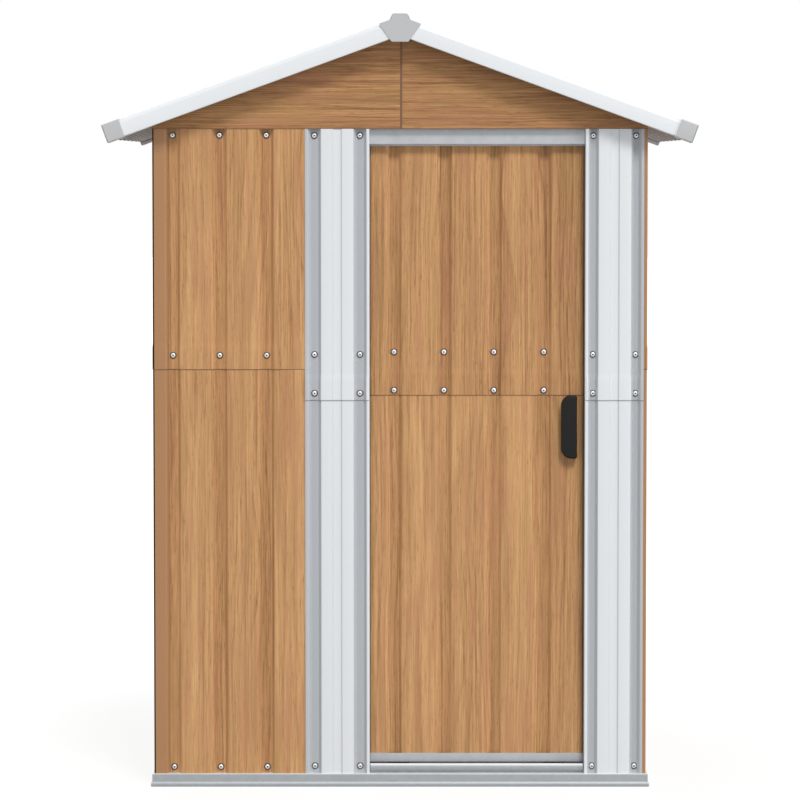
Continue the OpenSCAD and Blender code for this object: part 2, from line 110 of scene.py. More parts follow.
def left_of(line, sharpest=0.4):
    """Left-hand normals of a line: the mean of both edges' normals, longer at a corner as a mitre is.

    The length is 1 / cos of half the turn, where the cosine is at least sharpest.
    """
    edge = np.diff(line, axis=0)
    edge = edge / np.linalg.norm(edge, axis=1)[:, None]
    left = np.column_stack([-edge[:, 1], edge[:, 0]])
    before = np.vstack([left[:1], left])
    after = np.vstack([left, left[-1:]])
    mean = before + after
    mean = mean / np.linalg.norm(mean, axis=1)[:, None]
    return mean / np.clip((mean * before).sum(axis=1), sharpest, 1.0)[:, None]


def beside(line, distance):
    """The same line moved to its left by a distance."""
    line = np.asarray(line, float)
    return line + distance * left_of(line)


def walked(line):
    """How far along the line each point lies."""
    return np.concatenate([[0.0], np.cumsum(np.linalg.norm(np.diff(line, axis=0), axis=1))])


# %% [markdown]
# A sheet has two faces and a rim. Both faces are grids of points, one row for each point of the section
# and one column for each station of the path. The UV map holds the sheet's own flat size in metres, so a
# printed grain follows every fold as it does on the real coil-printed steel.


# %% A bent sheet as two grids
def bent_sheet(line, thick, along, place, lift=0.0, share=1.0, shift=(0.0, 0.0)):
    """Carry a line along a path.

    The seen face is the line itself, the hidden face lies thick to its left, or to its right where thick is
    negative. lift moves each station out from the sheet, times share at each point of the line. place turns
    the two coordinates of the line and the station into x, y, z.
    """
    line = np.asarray(line, float)
    along = np.asarray(along, float)
    normal = left_of(line)
    share = np.broadcast_to(share, len(line))
    lift = np.broadcast_to(lift, len(along))
    out = -np.sign(thick) * share[:, None] * lift[None, :]
    seen = line[:, None, :] + out[..., None] * normal[:, None, :]
    hidden = seen + thick * normal[:, None, :]
    station = np.broadcast_to(along, seen.shape[:2])
    flat = np.stack(np.broadcast_arrays(walked(line)[:, None] + shift[0], station + shift[1]), axis=-1)
    return place(seen[..., 0], seen[..., 1], station), place(hidden[..., 0], hidden[..., 1], station), flat


def skin(seen, hidden, flat, coats=0, edge=None):
    """Faces of a sheet: the seen grid, the hidden grid turned round, and a strip round the rim.

    coats is the finish of each row of the seen grid, and edge, where given, that of its first column. The
    hidden face and the rim get finish 1.
    """
    rows, columns = seen.shape[:2]
    count = rows * columns
    index = np.arange(count).reshape(rows, columns)
    corners = [index[:-1, :-1], index[1:, :-1], index[1:, 1:], index[:-1, 1:]]
    cell = np.stack(corners, axis=-1).reshape(-1, 4)
    ring = np.concatenate([index[:, 0], index[-1, 1:], index[-2::-1, -1], index[0, -2:0:-1]])
    ahead = np.roll(ring, -1)
    rim = np.stack([ahead, ring, ring + count, ahead + count], axis=-1)
    points = np.vstack([seen.reshape(-1, 3), hidden.reshape(-1, 3)])
    quads = np.vstack([cell, cell[:, ::-1] + count, rim])
    p, q, r, s = (points[quads[:, k]] for k in range(4))
    volume = (p * (np.cross(q, r) + np.cross(r, s))).sum()
    if volume < 0:
        quads = quads[:, ::-1]
    row_coat = np.broadcast_to(coats, rows - 1)
    seen_coat = np.repeat(row_coat[:, None], columns - 1, axis=1)
    if edge is not None:
        seen_coat[:, 0] = edge
    coat = np.concatenate([seen_coat.ravel(), np.ones(len(cell) + len(rim), int)])
    return points, quads, coat, np.vstack([flat.reshape(-1, 2)] * 2)[quads].reshape(-1, 2)


def joined(parts):
    """Several skins as one set of arrays, with the point numbers of each moved past those before it."""
    starts = np.cumsum([0] + [len(part[0]) for part in parts[:-1]])
    points = np.vstack([part[0] for part in parts])
    quads = np.vstack([part[1] + start for part, start in zip(parts, starts)])
    coat = np.concatenate([part[2] for part in parts])
    flat = np.vstack([part[3] for part in parts])
    return points, quads, coat, flat


# %% Arrays into a piece
def make_piece(name, points, faces, coat, finishes, body, nodes, sharp=32):
    """One Blender object. It rides on a body and stands for the CAD nodes that are named."""
    mesh = bpy.data.meshes.new(name)
    mesh.from_pydata(points, [], faces)
    for finish in finishes:
        mesh.materials.append(finish)
    mesh.polygons.foreach_set("material_index", np.minimum(coat, len(finishes) - 1).astype(np.int32))
    mesh.shade_smooth()
    mesh.set_sharp_from_angle(angle=radians(sharp))
    piece = bpy.data.objects.new(name, mesh)
    bpy.context.scene.collection.objects.link(piece)
    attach(piece, body)
    if nodes:
        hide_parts(*nodes)
    print(name, len(faces), "faces")
    return piece


def dress(name, parts, finishes, body, nodes=()):
    """A piece out of skins, with the flat size of its sheets as UV map."""
    points, quads, coat, flat = joined(parts)
    piece = make_piece(name, points, quads.tolist(), coat, finishes, body, nodes)
    layer = piece.data.uv_layers.new(name="flat")
    layer.data.foreach_set("uv", flat.astype(np.float32).ravel())
    return piece


# %% [markdown]
# A finish is a small formula over the surface. Writing it as nodes by hand hides the formula, so one class
# wraps a shader socket: plus, minus and times on it add Math nodes, and one method adds any other node.


# %% Shader values as Python expressions
class Wire:
    """A shader socket that can be used in sums."""

    def __init__(self, tree, socket=None):
        self.tree = tree
        self.socket = socket

    def node(self, kind, settings, sockets, out=0):
        """Add a node: its settings first, a ramp's stops among them, then its sockets' values or links.

        out is the number or the name of the output that the new wire stands for.
        """
        made = self.tree.nodes.new(kind)
        for name, value in settings.items():
            if name == "stops":
                set_stops(made.color_ramp, value)
            else:
                setattr(made, name, value)
        for name, value in sockets.items():
            if isinstance(value, Wire):
                self.tree.links.new(value.socket, made.inputs[name])
            else:
                made.inputs[name].default_value = value
        return Wire(self.tree, made.outputs[out])

    def math(self, operation, *values):
        """A Math node on numbers or wires."""
        return self.node("ShaderNodeMath", {"operation": operation}, dict(enumerate(values)))

    def __add__(self, other):
        return self.math("ADD", self, other)

    def __sub__(self, other):
        return self.math("SUBTRACT", self, other)

    def __rsub__(self, other):
        return self.math("SUBTRACT", other, self)

    def __mul__(self, other):
        return self.math("MULTIPLY", self, other)

    __radd__ = __add__
    __rmul__ = __mul__


def set_stops(ramp, stops):
    """Fill a colour ramp with pairs of place and colour."""
    while len(ramp.elements) > 1:
        ramp.elements.remove(ramp.elements[-1])
    ramp.elements[0].position, ramp.elements[0].color = stops[0]
    for place, colour in stops[1:]:
        ramp.elements.new(place).color = colour


def paint(red, green, blue):
    """A colour as read off a screen, 0 to 255, turned into the linear values that the shader works in."""
    share = np.array([red, green, blue]) / 255
    linear = np.where(share <= 0.04045, share / 12.92, ((share + 0.055) / 1.055) ** 2.4)
    return (*linear, 1.0)


# %% Parts that several finishes share
def new_finish(name, constants):
    """A material with one Principled BSDF. Constants go straight on its sockets."""
    finish = bpy.data.materials.new(name)
    finish.use_nodes = True
    shader = finish.node_tree.nodes["Principled BSDF"]
    for socket, value in constants.items():
        shader.inputs[socket].default_value = value
    return finish, shader, Wire(finish.node_tree)


def feed(shader, colour, rough, normal):
    """Link the three wires that every finish has to the shader."""
    for socket, wire in (("Base Color", colour), ("Roughness", rough), ("Normal", normal)):
        wire.tree.links.new(wire.socket, shader.inputs[socket])


def noise(wire, vector, scale, detail=2.0, rough=0.5):
    """Smooth noise from 0 to 1 over a vector."""
    return wire.node("ShaderNodeTexNoise", {}, {
        "Vector": vector, "Scale": scale, "Detail": detail, "Roughness": rough})


def spread(value, low, high, to_low=0.0, to_high=1.0):
    """A soft step: to_low below low, to_high above high."""
    return value.node("ShaderNodeMapRange", {"interpolation_type": "SMOOTHSTEP"}, {
        "Value": value, "From Min": low, "From Max": high, "To Min": to_low, "To Max": to_high})


def blend(share, first, second):
    """Two colours mixed by a share from 0 to 1. A Mix node has its colours at sockets 6 and 7, output 2."""
    return share.node("ShaderNodeMix", {"data_type": "RGBA"}, {0: share, 6: first, 7: second}, out=2)


def bump(height, depth, strength):
    """A Bump node that reads heights from 0 to 1 as depth metres."""
    return height.node("ShaderNodeBump", {}, {"Height": height, "Distance": depth, "Strength": strength})


def in_object(wire):
    """Object coordinates, in metres."""
    return wire.node("ShaderNodeTexCoord", {}, {}, out="Object")


# %% [markdown]
# The walls carry a printed oak grain under a clear satin lacquer. A print has no depth, so the grain is all
# colour: broad tone bands, growth rings that bend into long arches, streaks and short pores. It could be a
# wave texture, but its lines are too even. Here the rings are the fraction of a warped distance across the
# sheet, which gives the sharp dark edge on one side of each ring that oak shows.

# %% Printed wood
WOOD_STOPS = [
    (0.10, paint(132, 92, 60)), (0.34, paint(168, 123, 81)), (0.52, paint(196, 148, 100)),
    (0.70, paint(212, 163, 113)), (0.90, paint(226, 179, 126))]


def printed_wood(name, deeper, ring=21 * MM, ring_share=0.1):
    """Oak print: tone = bands + streaks + fibres - rings - veins - pores, read off a ramp of five browns.

    deeper is taken off the tone of the whole print. ring is the mean distance of two growth rings.
    """
    finish, shader, wire = new_finish(name, {"Specular IOR Level": 0.25})
    flat = {"Vector": wire.node("ShaderNodeUVMap", {"uv_map": "flat"}, {})}
    across = wire.node("ShaderNodeSeparateXYZ", {}, flat, out="X")
    along = wire.node("ShaderNodeSeparateXYZ", {}, flat, out="Y")

    def grain(over, wide, long, seed, detail=1.0, rough=0.5):
        """Noise whose blotches are wide across the grain and long along it, in metres."""
        place = {"X": over * (1 / wide), "Y": along * (1 / long), "Z": seed}
        return noise(wire, wire.node("ShaderNodeCombineXYZ", {}, place), 1.0, detail, rough)

    swayed = across + grain(across, 0.16, 0.9, 1.7, 2.0) * 0.026
    bands = grain(swayed, 0.04, 0.9, 4.2)
    streaks = grain(swayed, 0.0048, 0.6, 7.9, 3.0, 0.62)
    fibres = grain(swayed, 0.0022, 0.075, 2.4, 3.0, 0.65)
    turns = swayed * (1 / ring) + grain(across, 0.13, 0.7, 9.3) * 7.0
    ring_edge = spread(turns.math("FRACT", turns), 0.55, 0.97)
    figure = spread(grain(across, 0.11, 0.9, 12.6), 0.42, 0.62)
    pores = spread(grain(across, 0.002, 0.022, 5.5), 0.56, 0.76)
    veins = spread(grain(swayed, 0.011, 0.6, 33.0), 0.54, 0.74)
    warm = spread(grain(across, 0.018, 0.3, 15.1), 0.45, 0.72, 0.0, 0.5)
    cool = spread(grain(across, 0.022, 0.3, 21.8), 0.45, 0.72, 0.0, 0.34)
    ripple = grain(across, 0.09, 0.16, 30.4)
    tone = bands * 0.36 + streaks * 0.74 + fibres * 0.8 - (0.385 + deeper)
    tone = tone - ring_edge * (figure * ring_share + 0.05) - veins * 0.14 - pores * 0.16
    brown = wire.node("ShaderNodeValToRGB", {"stops": WOOD_STOPS}, {"Fac": tone})
    blushed = blend(warm.math("MAXIMUM", warm, veins * 0.4), brown, paint(190, 134, 100))
    colour = blend(cool, blushed, paint(176, 138, 89))
    feed(shader, colour, fibres * 0.12 + 0.46, bump(ripple * 0.75 + fibres * 0.25, 0.5 * MM, 0.35))
    return finish


wood_print = printed_wood("wood_print", deeper=-0.07)
# Painted shade: the valleys' print is darker than the ribs'.
valley_shade_print = printed_wood("valley_shade_print", deeper=0.02)
# Painted shade: the gables' print is darker overall, as the shade under the roof's overhang.
gable_shade_print = printed_wood("gable_shade_print", deeper=0.18)
# Painted shade: the door's upper sheet has a darker print than the lower one, darker still in its valleys.
door_upper_shade_print = printed_wood("door_upper_shade_print", deeper=0.02)
door_upper_valley_shade_print = printed_wood("door_upper_valley_shade_print", deeper=0.1)
print("finish", wood_print.name, len(wood_print.node_tree.nodes), "nodes")

# %% [markdown]
# The corner strips are the plain brown edge of the same sheets, and the back of every printed sheet has a
# thin grey primer. Jambs, trims and ridge are coated white. A roller-coated sheet isn't quite even: it has
# a faint orange-peel surface, and thin steel waves a little between its folds.


# %% Plain coats
def coated(name, colour, grain, peel, rough, tint, gloss=0.5):
    """Paint on steel: a colour that drifts by tint, a fine peel in the surface and a slow ripple."""
    finish, shader, wire = new_finish(name, {"Specular IOR Level": gloss})
    place = in_object(wire)
    drift = noise(wire, place, 2.3, 3.0)
    specks = noise(wire, place, grain, 2.0, 0.6)
    dull = (*np.array(colour[:3]) * (1 - 2 * tint), 1.0)
    pale = (*np.array(colour[:3]) * (1 + tint), 1.0)
    ripple = noise(wire, place, 9.0, 1.0)
    skin_bump = bump(specks * peel + ripple * (1 - peel), 0.4 * MM, 0.3)
    tone = blend(drift * 0.7 + specks * 0.3, dull, pale)
    feed(shader, tone, specks * 0.1 + drift * 0.08 + (rough - 0.09), skin_bump)
    return finish


brown_edge = coated("brown_edge", paint(175, 129, 88), 420.0, 0.2, 0.45, tint=0.06)
white_coat = coated("white_coat", paint(232, 236, 239), 520.0, 0.2, 0.42, tint=0.02)
trim_coat = coated("trim_coat", paint(240, 244, 247), 520.0, 0.2, 0.42, tint=0.02)
grey_primer = coated("grey_primer", paint(138, 141, 145), 260.0, 0.25, 0.52, tint=0.08)
# Grey for the jambs' valleys and lip: a grey coat, which also paints in their shade.
grey_valley_and_shade = coated("grey_valley_and_shade", paint(191, 195, 199), 520.0, 0.2, 0.42, tint=0.02)
# A darker white for the pressed band's bevels: painted shade on them.
band_bevel_shade = coated("band_bevel_shade", paint(213, 217, 220), 520.0, 0.2, 0.42, tint=0.02)
# Dark brown cut edge of the print, which also paints the shadow under each lap and under the gables.
seam_edge_shade = coated("seam_edge_shade", paint(120, 86, 58), 420.0, 0.2, 0.6, tint=0.05)
# Near-black brown for the left wall's corner bends: a painted shade line down those corners.
left_corner_painted_shade = coated("left_corner_painted_shade", paint(40, 31, 24), 420.0, 0.2, 0.7, tint=0.05, gloss=0.05)
# The jambs' grey cut edge at the lap, which also paints the shadow under the lap.
grey_edge_shade = coated("grey_edge_shade", paint(136, 140, 144), 420.0, 0.2, 0.6, tint=0.05)
grey_plastic = coated("grey_plastic", paint(196, 197, 199), 1400.0, 0.6, 0.5, tint=0.04)
black_plastic = coated("black_plastic", paint(31, 30, 29), 1500.0, 0.7, 0.46, tint=0.12, gloss=0.15)
# The dark ring under each screw is widened to also paint the shade round the head, and it darkens the recess
# as its shade.
sealing_ring_and_shade = coated("sealing_ring_and_shade", paint(52, 50, 48), 900.0, 0.6, 0.7, tint=0.15)
print("coats", [f.name for f in (brown_edge, white_coat, grey_primer, grey_plastic, black_plastic)])

# %% [markdown]
# Base rails, tracks and beams are galvanised. Zinc cools into crystals, which show as soft patches of
# slightly different grey. Voronoi cells give the patches, and their edges stay soft because the coat is
# thin.


# %% Galvanised steel
def galvanised_steel(name, dark, pale, shine):
    """Zinc: each Voronoi cell has its own grey and roughness, with fine scuffs over them."""
    finish, shader, wire = new_finish(name, {"Metallic": shine})
    place = in_object(wire)
    crystals = {"Vector": place, "Scale": 85.0}
    cell = wire.node("ShaderNodeTexVoronoi", {"feature": "SMOOTH_F1"}, crystals, out="Color")
    tone = wire.node("ShaderNodeSeparateColor", {}, {0: cell})
    scuffs = noise(wire, place, 240.0, 3.0, 0.6)
    colour = blend(tone * 0.65 + scuffs * 0.35, dark, pale)
    feed(shader, colour, tone * 0.06 + scuffs * 0.1 + 0.36, bump(scuffs, 0.05 * MM, 0.2))
    return finish


galvanised = galvanised_steel("galvanised", paint(161, 165, 168), paint(171, 175, 178), 0.2)
# A paler zinc for the rows that face up on the ledge: a painted highlight.
ledge_highlight_zinc = galvanised_steel("ledge_highlight_zinc", paint(206, 209, 212), paint(218, 221, 224), 0.2)
# Near-white zinc for the top of the nose: a painted highlight.
nose_highlight_zinc = galvanised_steel("nose_highlight_zinc", paint(228, 231, 234), paint(240, 243, 246), 0.2)
bright_zinc = galvanised_steel("bright_zinc", paint(182, 185, 189), paint(194, 197, 201), 0.2)
screw_zinc = galvanised_steel("screw_zinc", paint(212, 214, 217), paint(236, 238, 240), 0.6)
print("metals", galvanised.name, screw_zinc.name)

# %% [markdown]
# The walls are two storeys of ribbed sheet. The upper sheet laps over the lower one, so a thin shadow
# runs along the seam and rain runs off outside. The sections below repeat the folds of the CAD model, with
# depth measured inwards from the face of the ribs. Each wall only differs in where its section is placed.

# %% Folds of the wall sheets
rib_d = 10 * MM
valley_w = 22 * MM
flank_w = 6 * MM
rib_pitch = 107 * MM
corner_strip = 30 * MM
jamb_strip = 14 * MM
corner_lap = 16 * MM
edge_gap = 0.5 * MM
bend_edge = 4.5 * MM
bend_w = 3.5 * MM
front_count = 4
front_shift = -1 * MM
side_margin = 30 * MM
jamb_flank_in = 9 * MM


def valley_row(centres, depth, wide=valley_w):
    """Four corners for each valley: top of the first flank, both ends of the floor, top of the second."""
    half = wide / 2
    steps = np.array([-half - flank_w, -half, half, half + flank_w])
    across = (np.asarray(centres)[:, None] + steps).ravel()
    return np.column_stack([across, np.tile([0.0, depth, depth, 0.0], len(centres))])


def spaced(count, pitch):
    """Places a pitch apart, centred on zero."""
    return (np.arange(count) - (count - 1) / 2) * pitch


left_jamb_x = node_box("left_jamb_lower")[0][0] + jamb_flank_in
right_jamb_x = half_w - jamb_strip
front_first = -half_w + corner_strip + flank_w + valley_w / 2
front_valleys = front_first + front_shift + rib_pitch * np.arange(front_count)
front_last = front_valleys[-1]
side_valleys = spaced(int(2 * (half_d - side_margin) / rib_pitch), rib_pitch)
rear_edge = half_w - corner_strip - flank_w - edge_gap
rear_valleys = spaced(int((2 * rear_edge - valley_w) / rib_pitch) - 1, rib_pitch)
print("valleys: front", len(front_valleys), "side", len(side_valleys), "rear", len(rear_valleys))


# %% Where each wall stands
def on_front(across, depth, height):
    """Section of the front wall: across is x, depth goes back."""
    return np.stack([across, depth - half_d, height], axis=-1)


def on_rear(across, depth, height):
    """Section of the rear wall, seen from inside: across is x, depth comes forward."""
    return np.stack([across, half_d - depth, height], axis=-1)


def in_plan(x, y, height):
    """Section drawn in plan."""
    return np.stack([x, y, height], axis=-1)


def mirrored(place):
    """The same place on the other side of the middle."""
    return lambda a, b, c: place(a, b, c) * np.array([-1.0, 1.0, 1.0])


# %% Sections of the front, side and rear sheets
front_row = valley_row(front_valleys, rib_d)
front_section = np.vstack([
    [[front_first - valley_w / 2 + edge_gap, rib_d]], front_row[2:-2],
    [[front_last + valley_w / 2 - flank_w, rib_d]]])
rear_section = np.vstack([
    [[-rear_edge, rib_d], [-rear_edge + valley_w, rib_d], [-rear_edge + valley_w + flank_w, 0]],
    valley_row(rear_valleys, rib_d),
    [[rear_edge - valley_w - flank_w, 0], [rear_edge - valley_w, rib_d], [rear_edge, rib_d]]])


def side_section(strip, behind):
    """The left wall in plan: from behind the front sheet, round both corners, to behind the rear sheet."""
    floor, floor_d = strip + flank_w, rib_d + behind
    rear_floor, rear_d = corner_strip + flank_w, rib_d + sheet_t
    row = valley_row(side_valleys, rib_d)
    start = [[floor + corner_lap, floor_d], [floor, floor_d], [strip, 0], [bend_edge, 0], [0, 0]]
    end = [[0, 0], [corner_strip, 0], [rear_floor, rear_d], [rear_floor + corner_lap, rear_d]]
    front = np.array(start) + [-half_w, -half_d]
    rear = np.array(end) * [1, -1] + [-half_w, half_d]
    return np.vstack([front, row[:, ::-1] + [-half_w, 0], rear])


# %% [markdown]
# The lap: the lower sheet runs up behind the upper one, which starts a little above the joint of the
# solids, stands off by one sheet and eases back into the wall's plane higher up. Only the last few
# centimetres move, so the corners and the jambs still fit. The print stops short of the cut edge, and that
# dark cut edge also paints in the shadow under the lap, as a thin dark line along the seam.

# %% Wall sheets in two storeys
lap_rise = 3.5 * MM
lap_tuck = 4.5 * MM
seam_w = 1.3 * MM
lap_up = 46 * MM
lap_ease = 18 * MM
lap_gap = 0.15 * MM
lap_lift = sheet_t + lap_gap
jamb_cover = 14 * MM
corner_round = 3 * MM
strip_from = 0.5 * MM
wall_finishes = [wood_print, grey_primer, brown_edge, seam_edge_shade, valley_shade_print, left_corner_painted_shade]
STRIP, CUT_EDGE_SHADE, VALLEY_SHADE, SHADE_BEND = 2, 3, 4, 5


def storey_stations(low, high, lapped):
    """Heights along a sheet and how far each stands out: lap_lift at the lap, eased to 0 by a cosine."""
    if not lapped:
        return np.array([low, high + lap_tuck]), np.zeros(2)
    ease = np.linspace(0.0, 1.0, 6)
    low = low + lap_rise
    height = np.concatenate([[low, low + seam_w], low + lap_up + ease * lap_ease, [high]])
    out = np.concatenate([[1.0, 1.0], 0.5 + 0.5 * np.cos(pi * ease), [0.0]])
    return height, out * lap_lift


def in_valley(along, depth, deep, least=0.08, rise=0.3):
    """True for the rows of a valley: its floor and the flank that goes in, not the flank that comes out.

    Such a row lies deeper than least of the whole depth and comes out by less than rise of its length.
    """
    step = np.diff(depth)
    middle = (depth[1:] + depth[:-1]) / 2
    return (middle > least * deep) & (step > -rise * np.hypot(np.diff(along), step))


def strips_plain(line, is_strip, axis, bend_coat):
    """Finish STRIP for a corner strip, bend_coat for its bend, the valleys' darker print, painted shade,
    else 0.

    axis is the coordinate of the section that measures depth: 1 at the front and rear, 0 at the sides.
    """
    # Valley rows take a darker print: painted shade in the valleys.
    valley = in_valley(line[:, 1 - axis], line[:, axis] + (1 - axis) * half_w, rib_d)
    middle = (line[1:] + line[:-1]) / 2
    # The bend rows take bend_coat: on the left wall a painted shade line, on the right wall the plain brown
    # strip.
    bend = is_strip(middle) & (half_w - np.abs(middle[:, 0]) < bend_w)
    return np.select([bend, is_strip(middle), valley], [bend_coat, STRIP, VALLEY_SHADE])


def wall_storeys(name, section, thick, place, is_strip, share, seed, axis=1, bend_coat=SHADE_BEND):
    """Two lapped sheets of one wall, each its own piece. seed shifts the print, so that no two are alike."""
    line = soften(section)
    coats = strips_plain(line, is_strip, axis, bend_coat)
    for storey, low, high, lapped in (("lower", ledge_z, seam_z, False), ("upper", seam_z, wall_z, True)):
        height, out = storey_stations(low, high, lapped)
        shift = (seed, seed * 1.7 + 0.9 * lapped)
        grids = bent_sheet(line, thick, height, place, out, share(line), shift)
        dress(f"{name}_{storey}_sheet", [skin(*grids, coats, CUT_EDGE_SHADE if lapped else None)], wall_finishes,
              "shed", [f"{name}_{storey}"])


def everywhere(line):
    """The whole section stands out at the lap."""
    return np.ones(len(line))


def outside_corner(line):
    """Only what isn't tucked behind another sheet stands out at the lap."""
    tucked = np.minimum(line[:, 0] + half_w, half_d - np.abs(line[:, 1])) > rib_d * 0.9
    return np.where(tucked, 0.0, 1.0)


def beside_jamb(line):
    """The same for the right wall, whose front strip also lies under the jamb's lip."""
    under = (line[:, 1] < rib_d * 1.5 - half_d) & (line[:, 0] > corner_round - half_w)
    return np.where(under, 0.0, outside_corner(line))


def no_strip(middle):
    """A sheet without corner strips."""
    return np.zeros(len(middle), bool)


def corner_strips(middle):
    """The strips that a side sheet turns onto the front and the rear."""
    return (half_d - np.abs(middle[:, 1]) < rib_d * 1.2) & (middle[:, 0] + half_w > strip_from)


def under_jamb(line):
    """The front sheet lies flat where the jamb covers it."""
    return np.where(line[:, 0] > left_jamb_x - jamb_cover, 0.0, 1.0)


wall_storeys("front_wall", front_section, sheet_t, on_front, no_strip, under_jamb, 0.31)
wall_storeys("rear_wall", rear_section, sheet_t, on_rear, no_strip, everywhere, 5.2)
# The left wall's corner bends are painted near-black as shade; the right wall's stay plain brown.
wall_storeys("left_wall", side_section(corner_strip, sheet_t), -sheet_t, in_plan,
             corner_strips, outside_corner, 2.4, axis=0)
wall_storeys("right_wall", side_section(jamb_strip, 0.0), -sheet_t, mirrored(in_plan),
             corner_strips, beside_jamb, 8.7, axis=0, bend_coat=STRIP)

# %% [markdown]
# The jambs are pale sheets beside the doorway. Each has a lip over the wall, two grey valleys that take
# the screws, a broad white rib with a shallow pressed band, a hem, and a return into the doorway. The grey
# of the valleys and the lip also paints in their shade, and the band's bevels are a darker white, painted
# shade. The return stops clear of the door tracks, so it is a strip of its own with shorter ends.

# %% Jambs
jamb_lip = 6 * MM
jamb_rib_w = 73 * MM
band_w = 22 * MM
band_d = 1.5 * MM
bevel_w = 3 * MM
reveal_d = 12 * MM
notch_gap = 3 * MM
hem_w = 4 * MM
return_tuck = 0.5 * MM
jambs = (("left", left_jamb_x, 1, door_left - left_jamb_x),
         ("right", right_jamb_x, -1, right_jamb_x - door_right))
jamb_finishes = [white_coat, grey_primer, grey_valley_and_shade, grey_edge_shade, band_bevel_shade]
# Finish 2 is the grey that also paints shade, 3 the lap's dark cut edge, 4 the bevels' painted shade.
JAMB_VALLEY_GREY_SHADE, JAMB_CUT_SHADE, JAMB_BEVEL_SHADE = 2, 3, 4
return_low = node_box("door_bottom_track")[1][2] + notch_gap
return_high = node_box("door_top_track")[0][2] - notch_gap


# Rows of the section below: where the rib and its band start and end, and both valleys' floors
RIB_START, BAND_START, BAND_END, RIB_END = 4, 5, 8, 9
FLOOR_STARTS, FLOOR_ENDS = [2, 10], [3, 11]


def jamb_section(width):
    """The jamb from its outer flank at 0 to the doorway, without the return."""
    floor = (width - jamb_rib_w - jamb_lip - 4 * flank_w) / 2
    rib_0 = 2 * flank_w + floor
    rib_1 = rib_0 + jamb_rib_w
    band_0 = (rib_0 + rib_1 - band_w) / 2
    band_1 = band_0 + band_w
    return np.array([
        [-jamb_lip, 0], [0, 0], [flank_w, rib_d], [flank_w + floor, rib_d], [rib_0, 0],
        [band_0, 0], [band_0 + band_d, band_d], [band_1 - band_d, band_d], [band_1, 0], [rib_1, 0],
        [rib_1 + flank_w, rib_d], [rib_1 + flank_w + floor, rib_d], [width - jamb_lip, 0],
        [width - sheet_t, 0], [width - sheet_t, rib_d]])


def jamb_place(edge, turn):
    """Jamb coordinates on the front wall. turn is -1 for the right jamb, which is drawn mirrored."""
    return lambda across, depth, height: on_front(edge + turn * across, depth, height)


def jamb_storeys(side, edge, turn, width):
    """The two sheets of one jamb, each with its return."""
    section = jamb_section(width)
    line = soften(beside(section, -sheet_t), cut=2.0 * MM)
    x, depth = (line[1:].T + line[:-1].T) / 2
    off_rib = (x < section[RIB_START, 0]) | (x > section[RIB_END, 0])
    valley = off_rib & (depth > -0.4 * sheet_t) & (x < width - jamb_lip)
    from_band = np.abs(x[:, None] - section[[BAND_START, BAND_END], 0]).min(axis=1)
    # Valleys and lip take the grey that also paints their shade, the band's bevels a darker white as painted
    # shade.
    coats = np.select([valley | (x < 0), from_band < bevel_w], [JAMB_VALLEY_GREY_SHADE, JAMB_BEVEL_SHADE])
    inside = np.array([[width, rib_d - return_tuck], [width, rib_d + reveal_d]])
    stands_out = np.where(line[:, 0] < width - hem_w, 1.0, 0.0)
    place = jamb_place(edge, turn)
    spans = (("lower", ledge_z, jamb_seam, False), ("upper", jamb_seam, gable_z, True))
    for storey, low, high, lapped in spans:
        height, out = storey_stations(low, high, lapped)
        face = bent_sheet(line, sheet_t, height, place, out, stands_out)
        ends = [max(low, return_low), min(high, return_high)]
        back = bent_sheet(inside, -sheet_t, ends, place)
        front = skin(*face, coats, JAMB_CUT_SHADE if lapped else None)
        dress(f"{side}_jamb_{storey}_sheet", [front, skin(*back)], jamb_finishes, "shed",
              [f"{side}_jamb_{storey}"])


for jamb in jambs:
    jamb_storeys(*jamb)

# %% [markdown]
# The base rail is one folded section on all four sides: a flange on the ground, a small foot lip, a web
# and a ledge that the walls stand on. At the corners it is mitred, so its length depends on how far out a
# point lies: a point at depth d ends at half the wall's width minus d. That one product makes all the
# mitres. In the doorway a rounded nose stands before the track and leaves only a thin gap under the door.
# The faces that look up, on the ledge and on top of the nose, have a paler zinc: a painted highlight.

# %% Base rails
ground_flange = 40 * MM
foot_lip = 7.5 * MM
lip_h = 8 * MM
web_out = 4.5 * MM
web_foot = 11 * MM
upstand_d = rib_d + sheet_t
upstand_top = ledge_z + 18 * MM
nose_top = upstand_top + 2.6 * MM
nose_foot = ledge_z + 3 * MM
nose_out = 6 * MM
nose_tuck = 2 * MM
nose_gap = 2 * MM
rail_x0, rail_x1 = (corner[0] for corner in node_box("door_top_track"))
rail_section = soften([
    [ground_flange, 0], [-foot_lip, 0], [-foot_lip, lip_h], [-web_out, web_foot],
    [-web_out, ledge_z], [upstand_d + rail_t, ledge_z]], cut=3.2 * MM)
upstand = np.array([[upstand_d, ledge_z - rail_t], [upstand_d, upstand_top]])
nose_turn = np.linspace(-pi / 2, pi / 2, 15)
nose = np.vstack([
    np.column_stack([
        upstand_d - nose_out * np.cos(nose_turn),
        (nose_foot + nose_top) / 2 + (nose_top - nose_foot) / 2 * np.sin(nose_turn)]),
    [[upstand_d + nose_tuck, nose_top]]])
rail_finishes = [galvanised, galvanised, ledge_highlight_zinc, nose_highlight_zinc]
LEDGE_HIGHLIGHT, NOSE_HIGHLIGHT = 2, 3


def painted_top_highlight(line, bright=LEDGE_HIGHLIGHT, level=0.8):
    """A painted highlight: a bright finish for the rows that face upwards, and finish 0 for the rest."""
    step = np.diff(line, axis=0)
    return np.where(step[:, 0] > level * np.linalg.norm(step, axis=1), bright, 0)


def mitred(half_length, half_across, turn):
    """Rail along x at the front, turn 1, or the rear, turn -1. The station runs from -1 to 1."""
    return lambda depth, height, station: np.stack(
        [station * (half_length - depth), turn * (depth - half_across), height], axis=-1)


